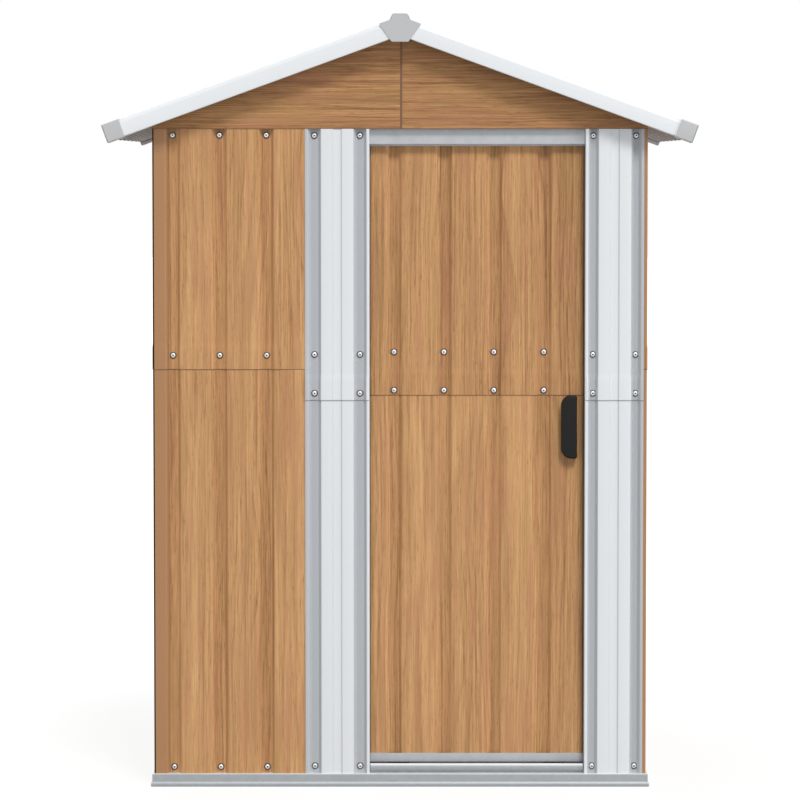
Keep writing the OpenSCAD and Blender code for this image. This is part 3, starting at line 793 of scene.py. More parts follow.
def straight(place):
    """Along a wall without mitres: the station is the distance itself."""
    return lambda depth, height, station: place(station, depth, height)


def turned(place):
    """A front or rear place turned onto the left or right wall."""
    return lambda depth, height, station: place(depth, height, station)[..., [1, 0, 2]]


def base_rail(side, place, upstand_place, ends):
    """One rail with its upstand, and in the doorway the nose that covers the door's gap."""
    parts = [skin(*bent_sheet(rail_section, -rail_t, [-1.0, 1.0], place), painted_top_highlight(rail_section)),
             skin(*bent_sheet(upstand, -rail_t, ends, upstand_place))]
    if side == "front":
        doorway = [door_left + nose_gap, door_right - nose_gap]
        rounded = bent_sheet(nose, -rail_t, doorway, upstand_place)
        # The nose's top rows take the near-white zinc: a painted highlight.
        parts.append(skin(*rounded, painted_top_highlight(nose, NOSE_HIGHLIGHT, 0.6)))
    return dress(f"base_rail_{side}_fold", parts, rail_finishes, "shed", [f"base_rail_{side}"])


side_end = half_d - upstand_d - 2 * sheet_t
base_rail("front", mitred(half_w, half_d, 1), straight(on_front), [rail_x0, rail_x1])
base_rail("rear", mitred(half_w, half_d, -1), straight(on_rear), [rail_x0, -rail_x0])
left_rail = base_rail("left", turned(mitred(half_d, half_w, 1)),
                      lambda d, h, s: in_plan(d - half_w, s, h), [-side_end, side_end])
right_rail = base_rail("right", turned(mitred(half_d, half_w, -1)),
                       lambda d, h, s: in_plan(half_w - d, s, h), [-side_end, side_end])

# %% [markdown]
# The side rails have two anchor holes each in the ground flange. A hole in a folded sheet is drilled after
# folding, so here it is a Boolean with a short drum, applied at once so that the piece stays a plain mesh.
# The drum is a ring of points that rises. The moulded caps further down are made the same way.


# %% Solids that rise over a ring
def ring_inwards(ring):
    """Unit normals of a closed ring that runs anticlockwise, pointing inside."""
    edge = np.roll(ring, -1, axis=0) - np.roll(ring, 1, axis=0)
    edge = edge / np.linalg.norm(edge, axis=1)[:, None]
    return np.column_stack([-edge[:, 1], edge[:, 0]])


def risen(ring, insets, heights, place):
    """A closed solid over a ring: row k is the ring moved in by insets[k] at heights[k].

    Its points come first, then its faces as two arrays of point numbers: the walls and the two ends.
    """
    rows = ring[None] + np.asarray(insets)[:, None, None] * ring_inwards(ring)[None]
    height = np.broadcast_to(np.asarray(heights)[:, None], rows.shape[:2])
    points = place(rows[..., 0], rows[..., 1], height).reshape(-1, 3)
    index = np.arange(len(points)).reshape(len(insets), len(ring))
    ahead = np.roll(index, -1, axis=1)
    walls = np.stack([index[:-1], ahead[:-1], ahead[1:], index[1:]], axis=-1).reshape(-1, 4)
    return points, walls, np.stack([index[0, ::-1], index[-1]])


def listed(groups, start=0):
    """Arrays of faces as one list, with the point numbers moved on by start."""
    return [face for group in groups for face in (group + start).tolist()]


# %% Anchor holes
def cut_away(piece, points, *groups):
    """Take a closed solid away from a piece and keep the result as the piece's own mesh."""
    tool = bpy.data.objects.new("cutter", bpy.data.meshes.new("cutter"))
    tool.data.from_pydata(points, [], listed(groups))
    bpy.context.scene.collection.objects.link(tool)
    cut = piece.modifiers.new("cut", "BOOLEAN")
    cut.object = tool
    cut.solver = "EXACT"
    bpy.context.view_layer.update()
    done = bpy.data.meshes.new_from_object(piece.evaluated_get(bpy.context.evaluated_depsgraph_get()))
    piece.modifiers.clear()
    piece.data = done
    bpy.data.objects.remove(tool)


anchor_in = 26 * MM
anchor_y = 300 * MM
anchor_r = 4.5 * MM
drill = 5 * MM
angle = np.linspace(0, 2 * pi, 32, endpoint=False)
circle = np.column_stack([np.cos(angle), np.sin(angle)])
for rail, x in ((left_rail, anchor_in - half_w), (right_rail, half_w - anchor_in)):
    for y in (-anchor_y, anchor_y):
        cut_away(rail, *risen(circle * anchor_r + [x, y], [0.0, 0.0], [-drill, drill], in_plan))
print("anchor holes cut in", left_rail.name, right_rail.name)

# %% [markdown]
# Two U-shaped tracks run along the inside of the front. The door hangs between them. They are open towards
# the door, so their lips show under the gable and above the base rail.

# %% Door tracks
track_d = 56 * MM
track_return = 4 * MM
track_rise = 2 * MM
top_foot = node_box("door_top_track")[0][2]
bottom_foot, bottom_rim = (corner[2] for corner in node_box("door_bottom_track"))
track_top = gable_z + track_rise
top_track = soften([
    [upstand_d + track_return, top_foot], [upstand_d, top_foot], [upstand_d, track_top],
    [track_d, track_top], [track_d, top_foot]])
bottom_track = soften([
    [upstand_d + rail_t, bottom_rim], [upstand_d + rail_t, bottom_foot],
    [track_d, bottom_foot], [track_d, bottom_rim]])
for node, line, side in (("door_top_track", top_track, -1), ("door_bottom_track", bottom_track, 1)):
    channel = skin(*bent_sheet(line, side * rail_t, [rail_x0, rail_x1], straight(on_front)))
    dress(f"{node}_fold", [channel], [bright_zinc], "shed", [node])

# %% [markdown]
# The door is two lapped sheets like the walls, held by a folded rail at the top and the bottom and by
# stiles and a brace that keep their CAD shape. Its sheets sit behind the jambs, so the door can slide left.

# %% Door sheets and rails
door_low, door_high = node_box("door_sheet_lower")
door_x0, door_x1 = (corner[0] for corner in node_box("door_top_rail"))
door_top = node_box("door_sheet_upper")[1][2]
door_seam = door_high[2]
door_face = door_low[1] + half_d
door_rib_d = 8 * MM
stile_w = 20 * MM
door_edge = stile_w - flank_w
door_pitches = 4.3
door_first = 0.49
door_count = 4
door_pitch = (door_right - door_left) / door_pitches
door_valleys = door_left + (door_first + np.arange(door_count)) * door_pitch
DOOR_CUT_SHADE, DOOR_VALLEY_SHADE = 2, 3
door_section = np.vstack([
    [[door_x0 + rail_t, door_rib_d], [door_x0 + door_edge, door_rib_d], [door_x0 + stile_w, 0]],
    valley_row(door_valleys, door_rib_d),
    [[door_x1 - stile_w, 0], [door_x1 - door_edge, door_rib_d], [door_x1 - rail_t, door_rib_d]]])


def on_door(across, depth, height):
    """Section of the door sheets: depth from the face of the door's ribs."""
    return on_front(across, depth + door_face, height)


def between_stiles(line):
    """The door's upper sheet stands out at the lap only between the stiles."""
    inside = (line[:, 0] > door_x0 + stile_w) & (line[:, 0] < door_x1 - stile_w)
    return np.where(inside, 1.0, 0.0)


door_line = soften(door_section)
# The door's valley rows take a darker print: painted shade in the valleys.
door_coats = np.where(in_valley(door_line[:, 0], door_line[:, 1], door_rib_d), DOOR_VALLEY_SHADE, 0)
door_spans = (("lower", door_low[2], door_seam, False), ("upper", door_seam, door_top, True))
for storey, low, high, lapped in door_spans:
    height, out = storey_stations(low, high, lapped)
    shift = (11.3, 3.1 + 1.3 * lapped)
    sheet = bent_sheet(door_line, sheet_t, height, on_door, out, between_stiles(door_line), shift)
    # The upper sheet's darker prints paint in the shade on the top of the door.
    prints = (door_upper_shade_print, door_upper_valley_shade_print) if lapped else (wood_print, valley_shade_print)
    dress(f"door_{storey}_sheet", [skin(*sheet, door_coats, DOOR_CUT_SHADE if lapped else None)],
          [prints[0], grey_primer, seam_edge_shade, prints[1]], "door", [f"door_sheet_{storey}"])

rail_drop = 5 * MM
for node, end, turn in (("door_top_rail", 1, -1), ("door_bottom_rail", 0, 1)):
    low, high = np.array(node_box(node)) - [0, 0, rail_drop * (1 - end)]
    near, far = low[1] + half_d, high[1] + half_d
    web = (low[2], high[2])[end]
    lip = (high[2], low[2])[end]
    line = soften([[near, lip], [near, web], [far, web], [far, lip]], cut=2.0 * MM)
    folded = skin(*bent_sheet(line, turn * rail_t, [door_x0, door_x1], straight(on_front)))
    dress(f"{node}_fold", [folded], [bright_zinc], "door", [node])

# %% [markdown]
# The gables are flat half sheets that meet under the ridge, with the grain lying level, printed darker as
# the painted shade under the overhang. A gable is a strip whose height follows the roof line, so the grid
# runs from the bottom edge up to that line at every x. A narrow flange under the roof holds it. The left
# half laps a little over the right one, and its cut edge, painted dark as the lap's shade, is the thin line
# in the middle. A dark strip along the bottom edge paints in the shadow under the gable.

# %% Gables
pitch = radians(20)
ridge_z = node_box("front_gable_left")[1][2]
gable_flange = 25 * MM
flange_gap = 0.1 * MM
seam_lap = 12 * MM
seam_ease = 8 * MM
gable_lap = 5 * MM
gable_lift = 1.1 * MM
GABLE_EDGE_SHADE = 2


def roof_line(x):
    """Height of the roof's underside at a distance from the middle."""
    return ridge_z - x * tan(pitch)


def gable_half(across, side, turn, seed):
    """Face and flange of one half. side is -1 for the left, turn is -1 for the front.

    The face has three heights at every x: the bottom, the top of the dark strip that paints the shadow under
    the gable, and the roof line.
    """
    top = roof_line(np.abs(across))
    z = np.stack([np.full_like(top, gable_z), np.full_like(top, gable_z + seam_w), top], axis=1)
    x = np.broadcast_to(across[:, None], z.shape)
    lap = np.where((x < seam_lap) & (side == -1), gable_lift, 0.0)
    # Painted shade: the strip that laps over the right half is dark as the lap's shade, and the bottom strip
    # as the shadow under the gable.
    coats = np.where(across[:-1] < -0.5 * seam_w, GABLE_EDGE_SHADE, 0)
    outer = np.stack([side * x, turn * (half_d + sheet_t + lap), z], axis=-1)
    inner = np.stack([side * x, turn * (half_d + lap), z], axis=-1)
    face = skin(outer, inner, np.stack([z + seed, x * side + seed], axis=-1), coats, GABLE_EDGE_SHADE)
    y = np.broadcast_to(turn * (half_d - np.linspace(0.0, gable_flange, 3)), z.shape)
    roof = np.broadcast_to(top[:, None], z.shape)
    upper = np.stack([side * x, y, roof - flange_gap], axis=-1)
    lower = np.stack([side * x, y, roof - sheet_t], axis=-1)
    return [face, skin(lower, upper, np.stack([y, x], axis=-1), 1)]


left_x = np.array([-gable_lap, seam_w - gable_lap, 0.0, seam_lap - MM, seam_lap + seam_ease, half_w])
right_x = np.array([0.0, seam_lap, half_w])
halves = (("front", "left", left_x, -1, -1), ("front", "right", right_x, 1, -1),
          ("rear", "left", left_x, -1, 1), ("rear", "right", right_x, 1, 1))
for number, (end, side, across, x_sign, y_sign) in enumerate(halves):
    parts = gable_half(across, x_sign, y_sign, 21.4 + 2.9 * number)
    node = f"{end}_gable_{side}"
    dress(f"{node}_sheet", parts, [gable_shade_print, grey_primer, seam_edge_shade], "shed", [node])

# %% [markdown]
# The roof is two ribbed sheets that lie on the gables and on a beam each. Their shape is drawn flat, with
# s down the slope and n square to it, then tilted: x = s cos + n sin and z = ridge - s sin + n cos.

# %% Roof sheets
roof_rib_h = 11 * MM
roof_ribs = 9
rib_share = 0.3
ridge_gap = 3 * MM
eave_gap = 1 * MM
rib_top = roof_rib_h + sheet_t
cap_t = 2 * MM
roof_half_w, roof_half_d = node_box("roof_sheet_right")[1][:2]
slope_end = (roof_half_w - rib_top * sin(pitch)) / cos(pitch)
slope_l = slope_end + cap_t + eave_gap
trim_front = -node_box("ridge_end_caps")[0][1] - cap_t
roof_pitch_y = 2 * roof_half_d / roof_ribs


def on_slope(y, n, s):
    """Right slope of the roof: y along the ridge, n square to the slope, s down it."""
    x = s * cos(pitch) + n * sin(pitch)
    z = ridge_z - s * sin(pitch) + n * cos(pitch)
    return np.stack([x, y, z], axis=-1)


def roof_section():
    """Flat edge, ribs, flat edge. A rib is a valley that goes up, so the same row of corners makes it."""
    ribs = valley_row(spaced(roof_ribs, roof_pitch_y), roof_rib_h, rib_share * roof_pitch_y)
    return np.vstack([[[-roof_half_d, 0]], ribs, [[roof_half_d, 0]]])


roof_top = soften(beside(roof_section(), sheet_t))
for side, place, seed in (("right", on_slope, 31.0), ("left", mirrored(on_slope), 35.5)):
    sheet = bent_sheet(roof_top, -sheet_t, [ridge_gap, slope_end], place, shift=(seed, seed))
    dress(f"roof_{side}_fold", [skin(*sheet)], [wood_print, grey_primer], "shed",
          [f"roof_sheet_{side}"])

# %% [markdown]
# White folded trims close the gable edges of the roof. They have an upright face with a narrow chamfer on
# top, which is the pale line along the edge, and a flange that lies on the ribs. The trims end plumb, so
# each point of the section starts where its own line meets an upright plane: the faces of both trims nearly
# meet in the middle, behind the ridge end cap, and the flanges stop beside the ridge capping.

# %% Trims and ridge capping
trim_drop = 6 * MM
hem_gap = 0.6 * MM
trim_top = 33 * MM
trim_w = 30 * MM
trim_bevel = 7 * MM
trim_hem = 22 * MM
trim_flank = 4 * MM
trim_foot = 20 * MM
face_reach = 25 * MM
eave_cap_l = 42 * MM
crown_half = 15 * MM
crown_foot = 34 * MM
crown_edge = 42 * MM
capping_in = 4 * MM
trim_gap = 2 * MM
face_x0 = trim_gap
trim_x0 = crown_edge + trim_gap
crown_z = node_box("ridge_capping")[1][2]
flange_n = rib_top + rail_t
trim_section = soften(np.array([
    [trim_hem, -hem_gap], [trim_hem, -trim_drop], [0, -trim_drop], [0, trim_top - trim_bevel],
    [trim_bevel, trim_top], [trim_w, trim_top], [trim_w + trim_flank, flange_n],
    [trim_w + trim_foot, flange_n]]) - [trim_front, 0], cut=1.6 * MM)


def along_trim(y, n, station):
    """Station 0 is the plumb cut at the ridge, station 1 the end inside the eave cap."""
    upright = (n < trim_top - trim_bevel / 2) & (y < face_reach - trim_front)
    start = (np.where(upright, face_x0, trim_x0) - n * sin(pitch)) / cos(pitch)
    end = slope_l - eave_cap_l / 2
    return on_slope(y, n, start + station * (end - start))


def rear_of(place):
    """The same place at the rear."""
    return lambda a, b, c: place(a, b, c) * np.array([1.0, -1.0, 1.0])


ends = (("front", "right", along_trim), ("front", "left", mirrored(along_trim)),
        ("rear", "right", rear_of(along_trim)), ("rear", "left", mirrored(rear_of(along_trim))))
for end, side, place in ends:
    folded = bent_sheet(trim_section, -rail_t, [0.0, 1.0], place)
    dress(f"{end}_{side}_trim_fold", [skin(*folded)], [trim_coat, grey_primer], "shed",
          [f"{end}_trim_{side}"])


def over_ribs(x):
    """Height of the plane over the roof's ribs."""
    return ridge_z + rib_top / cos(pitch) - x * tan(pitch)


def past_ridge(turn, start=0.0):
    """A section square to the ridge, carried along it from start: turn is -1 to the front, 1 to the rear."""
    return lambda x, z, y: np.stack([x, turn * (start + y), z], axis=-1)


crown_right = np.array([
    [crown_half, crown_z - rail_t], [crown_foot, over_ribs(crown_foot)],
    [crown_edge, over_ribs(crown_edge)]])
crown = np.vstack([crown_right[::-1] * [-1, 1], crown_right])
crown_top = soften(beside(crown, rail_t), cut=3.0 * MM)
crown_top[:, 1] = np.minimum(crown_top[:, 1], crown_z)
capping_end = trim_front - capping_in
capping = bent_sheet(crown_top, -rail_t, [-capping_end, capping_end], past_ridge(1))
dress("ridge_capping_fold", [skin(*capping)], [trim_coat, grey_primer], "shed",
      ["ridge_capping"])

# %% [markdown]
# Moulded plastic caps close the ends of the ridge and of the eaves. A moulded plate has a rounded edge, so
# its outline is repeated as rings that step inwards while they rise, and a flat face closes each end. The
# eave caps are sleeves, a bent section like the steel, with such a plate over the lower end.


# %% Plates with a rounded edge
def soft_ring(outline, cut):
    """A closed outline with rounded corners."""
    outline = np.asarray(outline, float)
    return soften(np.vstack([outline[-1:], outline, outline[:1]]), cut)[1:-1]


def moulded(name, solids, finish, body, nodes):
    """A piece of one plastic out of closed solids, each its points and its arrays of faces.

    The faces are turned outwards at the end, because mirroring may have turned some round.
    """
    faces, start = [], 0
    for points, *groups in solids:
        faces += listed(groups, start)
        start += len(points)
    points = np.vstack([solid[0] for solid in solids])
    piece = make_piece(name, points, faces, np.zeros(len(faces)), [finish], body, nodes)
    work = bmesh.new()
    work.from_mesh(piece.data)
    bmesh.ops.recalc_face_normals(work, faces=work.faces)
    work.to_mesh(piece.data)
    work.free()
    return piece


# %% Ridge end caps
cap_over = 5 * MM
cap_half = crown_edge + cap_over
cap_foot = 19 * MM
cap_low = 21 * MM
cap_shoulder = 6 * MM
cap_step = crown_half + cap_shoulder
collar_l = 12 * MM
collar_t = 1.2 * MM
collar_out = 1.6 * MM
collar_tuck = 0.5 * MM


def trim_height(x):
    """Height of the trims' top face at a distance from the middle."""
    return ridge_z + trim_top / cos(pitch) - x * tan(pitch)


cap_right = np.array([
    [cap_foot, ridge_z - cap_low], [cap_half, trim_height(cap_half)],
    [cap_half, trim_height(cap_half) + cap_t], [cap_step, trim_height(cap_step) + cap_t],
    [crown_half, crown_z + cap_t]])
cap_ring = soft_ring(np.vstack([cap_right, cap_right[::-1] * [-1, 1]]), 2.2 * MM)
cap_insets = np.array([0.0, 0.0, 0.08, 0.25, 0.42, 0.6]) * MM
cap_heights = np.array([0.0, 0.8, 1.4, 1.85, 2.0, 2.0]) * MM
collar = soften(beside(crown, rail_t + collar_out)[1:-1], cut=3.0 * MM)
collar_span = [trim_front - collar_l, trim_front + collar_tuck]
cap_solids = []
for turn in (-1, 1):
    cap_solids.append(risen(cap_ring, cap_insets, cap_heights, past_ridge(turn, trim_front)))
    cap_solids.append(skin(*bent_sheet(collar, -collar_t, collar_span, past_ridge(turn)))[:2])
moulded("ridge_cap_plates", cap_solids, grey_plastic, "shed", ["ridge_end_caps"])

# %% Eave end caps
cap_back = -trim_front + trim_w + trim_foot
sleeve_front = -trim_front - cap_t
sleeve_low = -trim_drop - cap_t
sleeve_high = trim_top + cap_t
sleeve = soften([
    [cap_back, flange_n + hem_gap], [cap_back, sleeve_high], [sleeve_front, sleeve_high],
    [sleeve_front, sleeve_low], [cap_back, sleeve_low], [cap_back, -hem_gap]], cut=3.0 * MM)
plate_ring = soft_ring([
    [sleeve_front, sleeve_low], [cap_back, sleeve_low], [cap_back, sleeve_high],
    [sleeve_front, sleeve_high]], 3.0 * MM)
sleeve_span = [slope_l - eave_cap_l, slope_l - 0.5 * cap_t]
eave_solids = []
for place in (on_slope, mirrored(on_slope), rear_of(on_slope), mirrored(rear_of(on_slope))):
    eave_solids.append(skin(*bent_sheet(sleeve, cap_t, sleeve_span, place))[:2])
    eave_solids.append(risen(plate_ring, cap_insets * 2, slope_l - cap_t + cap_heights, place))
moulded("eave_cap_sleeves", eave_solids, grey_plastic, "shed", ["eave_end_caps"])

# %% [markdown]
# The handle is a black shell with round ends on the side of the hand, and a pocket behind for the fingers.
# Its edge is a quarter of an ellipse over the outline. The pocket is cut out, as a mould's side core does.

# %% Handle
handle_low, handle_high = node_box("door_handle")
handle_w = handle_high[0] - handle_low[0]
handle_out = handle_high[1] - handle_low[1]
big_r = 0.62 * handle_w
small_r = 0.12 * handle_w
handle_wall = 4 * MM
edge_in = 4 * MM
edge_h = 7 * MM
pocket_out = 8 * MM
pocket_r = 5 * MM


def on_handle(x, z, height):
    """An outline on the door, with height measured forwards from the back of the handle."""
    return np.stack([x, handle_high[1] - height, z], axis=-1)


def corner_arc(x, z, radius, start, count=9):
    """A quarter circle that runs anticlockwise from an angle in degrees."""
    angle = np.radians(np.linspace(start, start + 90, count))
    return np.column_stack([x + radius * np.cos(angle), z + radius * np.sin(angle)])


handle_ring = np.vstack([
    corner_arc(handle_high[0] - small_r, handle_low[2] + small_r, small_r, -90),
    corner_arc(handle_high[0] - small_r, handle_high[2] - small_r, small_r, 0),
    corner_arc(handle_low[0] + big_r, handle_high[2] - big_r, big_r, 90),
    corner_arc(handle_low[0] + big_r, handle_low[2] + big_r, big_r, 180)])
quarter = np.linspace(0, pi / 2, 7)
handle_insets = np.concatenate([[0.0], edge_in * (1 - np.cos(quarter))])
handle_heights = np.concatenate([[0.0], handle_out + edge_h * (np.sin(quarter) - 1)])
handle = moulded("door_handle_shell", [risen(handle_ring, handle_insets, handle_heights, on_handle)],
                 black_plastic, "door", ["door_handle"])
pocket_x0, pocket_x1 = handle_low[0] + handle_wall, handle_high[0] + pocket_out
pocket_z0, pocket_z1 = handle_low[2] + big_r / 2, handle_high[2] - big_r / 2
pocket_ring = soft_ring([
    [pocket_x0, pocket_z0], [pocket_x1, pocket_z0], [pocket_x1, pocket_z1],
    [pocket_x0, pocket_z1]], pocket_r)
cut_away(handle, *risen(pocket_ring, [0.0, 0.0], [handle_wall, handle_out - handle_wall], on_handle))

# %% [markdown]
# Four plastic blocks guide the door in its tracks. They sit a little behind the faces of the door's rails,
# and their edges are bevelled, so that they slide without catching.

# %% Glides
glide_l = 50 * MM
glide_in = 4 * MM
glide_r = 3 * MM
glide_bevel = 1 * MM
glide_low, glide_high = node_box("door_glides")
rail_bottom = node_box("door_bottom_rail")[0][2] - rail_drop
rail_top = node_box("door_top_rail")[1][2]
glide_solids = []
for x in (glide_low[0], glide_high[0] - glide_l):
    near, far = glide_low[1] + glide_in, glide_high[1] - glide_in
    ring = soft_ring([[x, near], [x + glide_l, near], [x + glide_l, far], [x, far]], glide_r)
    for low, high in ((glide_low[2], rail_bottom), (rail_top, glide_high[2])):
        levels = [low, low + glide_bevel, high - glide_bevel, high]
        glide_solids.append(risen(ring, [glide_bevel, 0.0, 0.0, glide_bevel], levels, in_plan))
moulded("door_glide_blocks", glide_solids, black_plastic, "door", ["door_glides"])

# %% [markdown]
# Self-tapping screws hold the sheets: a dark sealing ring, a zinc washer and a domed head with a small
# recess. The dark ring is wide enough to also paint in the shade round the head, and the recess is painted
# the same dark as its shade. They are seen by the hundred, so each is a short profile turned round its axis
# with few steps. All screws of one wall are one mesh: the profile is worked out once and added to every
# place in a single sum.

# %% One screw, many places
screw_profile = np.array([
    [7.8, 0.0], [7.6, 1.2], [6.0, 1.5], [5.8, 2.4], [4.7, 3.8], [2.9, 4.8], [2.0, 4.8], [1.8, 4.0]]) * MM
# Rings 0 and 1 are the dark sealing ring, widened as painted shade round the head; the last ring is the
# recess, painted dark as shade.
ring_coat = np.array([1, 1, 0, 0, 0, 0, 1])
FRONT, REAR, LEFT, RIGHT = (0, -1, 0), (0, 1, 0), (-1, 0, 0), (1, 0, 0)


def screws(name, places, outward, sideways, body, count=10):
    """Turn the profile round the outward direction at each place."""
    places = np.atleast_2d(places)
    outward = np.asarray(outward, float)
    first = np.asarray(sideways, float)
    second = np.cross(outward, first)
    angle = np.linspace(0, 2 * pi, count, endpoint=False)
    spoke = np.cos(angle)[:, None] * first + np.sin(angle)[:, None] * second
    one = screw_profile[:, 0][:, None, None] * spoke[None] + screw_profile[:, 1][:, None, None] * outward
    points = (places[:, None, None, :] + one[None]).reshape(-1, 3)
    rings = len(screw_profile)
    index = np.arange(len(points)).reshape(len(places), rings, count)
    ahead = np.roll(index, -1, axis=2)
    walls = np.stack([index[:, :-1], ahead[:, :-1], ahead[:, 1:], index[:, 1:]], axis=-1).reshape(-1, 4)
    faces = walls.tolist() + index[:, 0, ::-1].tolist() + index[:, -1].tolist()
    # The recess floor is dark too: painted shade.
    ends = np.repeat([0, 1], len(places))
    coat = np.concatenate([np.tile(np.repeat(ring_coat, count), len(places)), ends])
    finishes = [screw_zinc, sealing_ring_and_shade]
    return make_piece(name, points, faces, coat, finishes, body, (), sharp=40)


def grid_of(across, heights, depth):
    """Every pair of across and height, at a depth that may differ by row."""
    a, h = np.meshgrid(across, heights, indexing="ij")
    return a.ravel(), np.broadcast_to(depth, a.shape).ravel(), h.ravel()


# %% Screws in the walls, the door and the roof
wall_rows = np.array([ledge_z + 14 * MM, seam_z + 36 * MM, wall_z - 24 * MM])
wall_depth = np.array([rib_d, rib_d - lap_lift, rib_d])
rear_all = np.concatenate([[-rear_edge + valley_w / 2], rear_valleys, [rear_edge - valley_w / 2]])
front_places = on_front(*grid_of(front_valleys[:-1], wall_rows, wall_depth))
rear_places = on_rear(*grid_of(rear_all, wall_rows, wall_depth))
side_y, side_d, side_z = grid_of(side_valleys, wall_rows, wall_depth)
screws("front_wall_screws", front_places, FRONT, RIGHT, "shed")
screws("rear_wall_screws", rear_places, REAR, RIGHT, "shed")
screws("left_wall_screws", in_plan(side_d - half_w, side_y, side_z), LEFT, REAR, "shed")
screws("right_wall_screws", in_plan(half_w - side_d, side_y, side_z), RIGHT, REAR, "shed")

jamb_rows = np.array([ledge_z + 16 * MM, jamb_seam + 20 * MM, seam_z + 38 * MM, gable_z - 15 * MM])
jamb_depth = rib_d - sheet_t - np.array([0.0, lap_lift, 0.0, 0.0])
for side, edge, turn, width in jambs:
    section = jamb_section(width)
    middles = (section[FLOOR_STARTS, 0] + section[FLOOR_ENDS, 0]) / 2
    places = on_front(*grid_of(edge + turn * middles, jamb_rows, jamb_depth))
    screws(f"{side}_jamb_screws", places, FRONT, RIGHT, "shed")

door_rows = np.array([door_seam + 15 * MM, door_seam + 103 * MM])
door_depth = door_rib_d - np.array([lap_lift, 0.0])
screws("door_screws", on_door(*grid_of(door_valleys, door_rows, door_depth)), FRONT, RIGHT, "door")

roof_y = spaced(roof_ribs - 1, roof_pitch_y)
roof_s = np.array([75 * MM, 0.46 * slope_l + 12 * MM, (half_w - 20 * MM) / cos(pitch)])
slope_y, slope_n, slope_s = grid_of(roof_y, roof_s, sheet_t)
for side, sign in (("right", 1), ("left", -1)):
    places = on_slope(slope_y, slope_n, slope_s) * [sign, 1, 1]
    screws(f"roof_{side}_screws", places, (sign * sin(pitch), 0, cos(pitch)), REAR, "shed")

# %% [markdown]
# What is only seen through the doorway keeps its CAD shape: top rails, braces, roof beams and the door's
# stiles. They get the same finish as the rails.

# %% Finishes for the nodes that stay
kept = ("side_top_rails", "rear_top_rail", "side_braces", "rear_brace", "roof_beams", "door_stiles",
        "door_brace")
for node in kept:
    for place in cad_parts[node].material_slots:
        place.material = galvanised
print("kept nodes", len(kept))

# %% [markdown]
# The stage: a pale floor and a white surrounding. Only rays that go straight to the camera, or that
# mirror or pass through something, see full white. Diffuse light comes at a plain level, so a colour
# renders about as it is written. The floor fades to white away from the shed. Close to it, about a third of
# its own shading shows, which keeps a faint shadow, and inside the walls all of it.


# %% Floor and surrounding
def seen_directly(wire):
    """1 for rays from the camera, from a mirror or through glass, else 0."""
    camera = wire.node("ShaderNodeLightPath", {}, {}, out="Is Camera Ray")
    glossy = wire.node("ShaderNodeLightPath", {}, {}, out="Is Glossy Ray")
    through = wire.node("ShaderNodeLightPath", {}, {}, out="Is Transmission Ray")
    return camera.math("MAXIMUM", camera, glossy.math("MAXIMUM", glossy, through))


def plain_floor(half_size, grey, shadow_share, below=0.5 * MM):
    """A square of floor that fades to white away from the shed: near it, shadow_share is its own shading.

    The white is raised by what the grey takes away, so that lit floor beside the shed is white too.
    """
    corners = np.array([[-1, -1, 0], [1, -1, 0], [1, 1, 0], [-1, 1, 0]]) * half_size - [0, 0, below]
    mesh = bpy.data.meshes.new("floor")
    mesh.from_pydata(corners, [], [[0, 1, 2, 3]])
    finish, shader, wire = new_finish("floor", {"Roughness": 0.9, "Specular IOR Level": 0.0})
    shader.inputs["Base Color"].default_value = (grey, grey, grey, 1.0)
    raised = (1 - shadow_share * grey) / (1 - shadow_share)
    white = wire.node("ShaderNodeEmission", {}, {"Strength": raised})
    surface = Wire(finish.node_tree, shader.outputs[0])
    place = {0: in_object(wire)}
    away = wire.node("ShaderNodeVectorMath", {"operation": "LENGTH"}, place, out="Value")
    x, y = (wire.node("ShaderNodeSeparateXYZ", {}, place, out=axis) for axis in "XY")
    side = x.math("ABSOLUTE", x) * (1 / half_w)
    end = y.math("ABSOLUTE", y) * (1 / half_d)
    outside = spread(side.math("MAXIMUM", side, end), 0.97, 0.99)
    share = seen_directly(wire) * outside * spread(away, 0.7, 2.4, 1 - shadow_share, 1.0)
    mixed = wire.node("ShaderNodeMixShader", {}, {0: share, 1: surface, 2: white})
    finish.node_tree.links.new(mixed.socket, finish.node_tree.nodes["Material Output"].inputs["Surface"])
    mesh.materials.append(finish)
    floor = bpy.data.objects.new("floor", mesh)
    bpy.context.scene.collection.objects.link(floor)


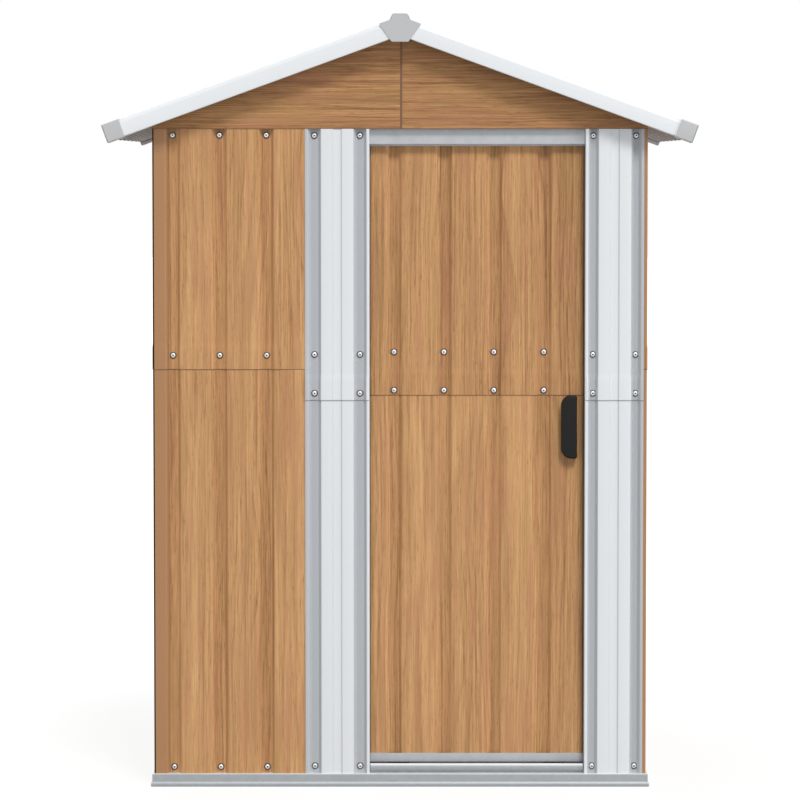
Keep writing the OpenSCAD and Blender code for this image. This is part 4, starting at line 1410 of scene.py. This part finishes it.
def white_surrounding(ambient):
    """A world that is white where seen directly and gives ambient light otherwise."""
    world = bpy.data.worlds.new("surrounding")
    world.use_nodes = True
    wire = Wire(world.node_tree)
    strength = spread(seen_directly(wire), 0.0, 1.0, ambient, 1.0)
    background = world.node_tree.nodes["Background"]
    background.inputs["Color"].default_value = (1.0, 1.0, 1.0, 1.0)
    world.node_tree.links.new(strength.socket, background.inputs["Strength"])
    bpy.context.scene.world = world


plain_floor(half_size=40.0, grey=0.4, shadow_share=0.3)
white_surrounding(ambient=0.36)
bpy.context.scene.view_settings.view_transform = "Standard"

# %% [markdown]
# The photograph has a broad light in front, high and a little to the right: the gables are darker under
# the overhang, laps and screws have a small shade below, and flanks that face left are darker. So the key
# lamp stands high, a weaker one far to the right, and weak lamps on the left and at the rear light the
# other sides.


# %% Lamps
def soft_lamp(name, place, aim, size, power):
    """A square area lamp that faces a point."""
    lamp = bpy.data.lights.new(name, "AREA")
    lamp.size = size
    lamp.energy = power
    holder = bpy.data.objects.new(name, lamp)
    bpy.context.scene.collection.objects.link(holder)
    holder.location = place
    holder.rotation_euler = (Vector(aim) - Vector(place)).to_track_quat("-Z", "Y").to_euler()


soft_lamp("key", (10.96, -30.8, 41.86), (0.0, -0.4, 0.9), 12.8, 17600.0)
soft_lamp("right", (5.74, -2.53, 0.9), (0.0, -0.4, 0.8), 2.0, 116.0)
soft_lamp("left", (-5.0, -3.34, 0.9), (0.0, -0.4, 0.8), 2.0, 33.0)
soft_lamp("rear", (-2.0, 4.5, 3.2), (0.0, 0.0, 0.9), 3.0, 110.0)

# %% [markdown]
# The camera stands straight in front, far away with a long lens, a little under the eaves, so the
# underside of the overhang just shows. Part of its downward look is lens shift, which keeps the upright
# edges close to parallel.

# %% Camera
front_edge = -node_box("ridge_end_caps")[0][1]
camera_away = 7.0
camera_z = 1.43
focal = 139.0
shift = -0.11
centre_z = 0.891
sensor = 36.0
look = np.arctan2(camera_z - centre_z, camera_away + front_edge - half_d)
down = look - np.arctan(-shift * sensor / focal)
lens = bpy.data.cameras.new("camera")
lens.lens = focal
lens.sensor_width = sensor
lens.shift_y = shift
camera = bpy.data.objects.new("camera", lens)
camera.location = (0.0, -front_edge - camera_away, camera_z)
camera.rotation_euler = (pi / 2 - down, 0.0, 0.0)
bpy.context.scene.collection.objects.link(camera)
bpy.context.scene.camera = camera
print("camera looks down by", round(np.degrees(down), 2), "degrees")
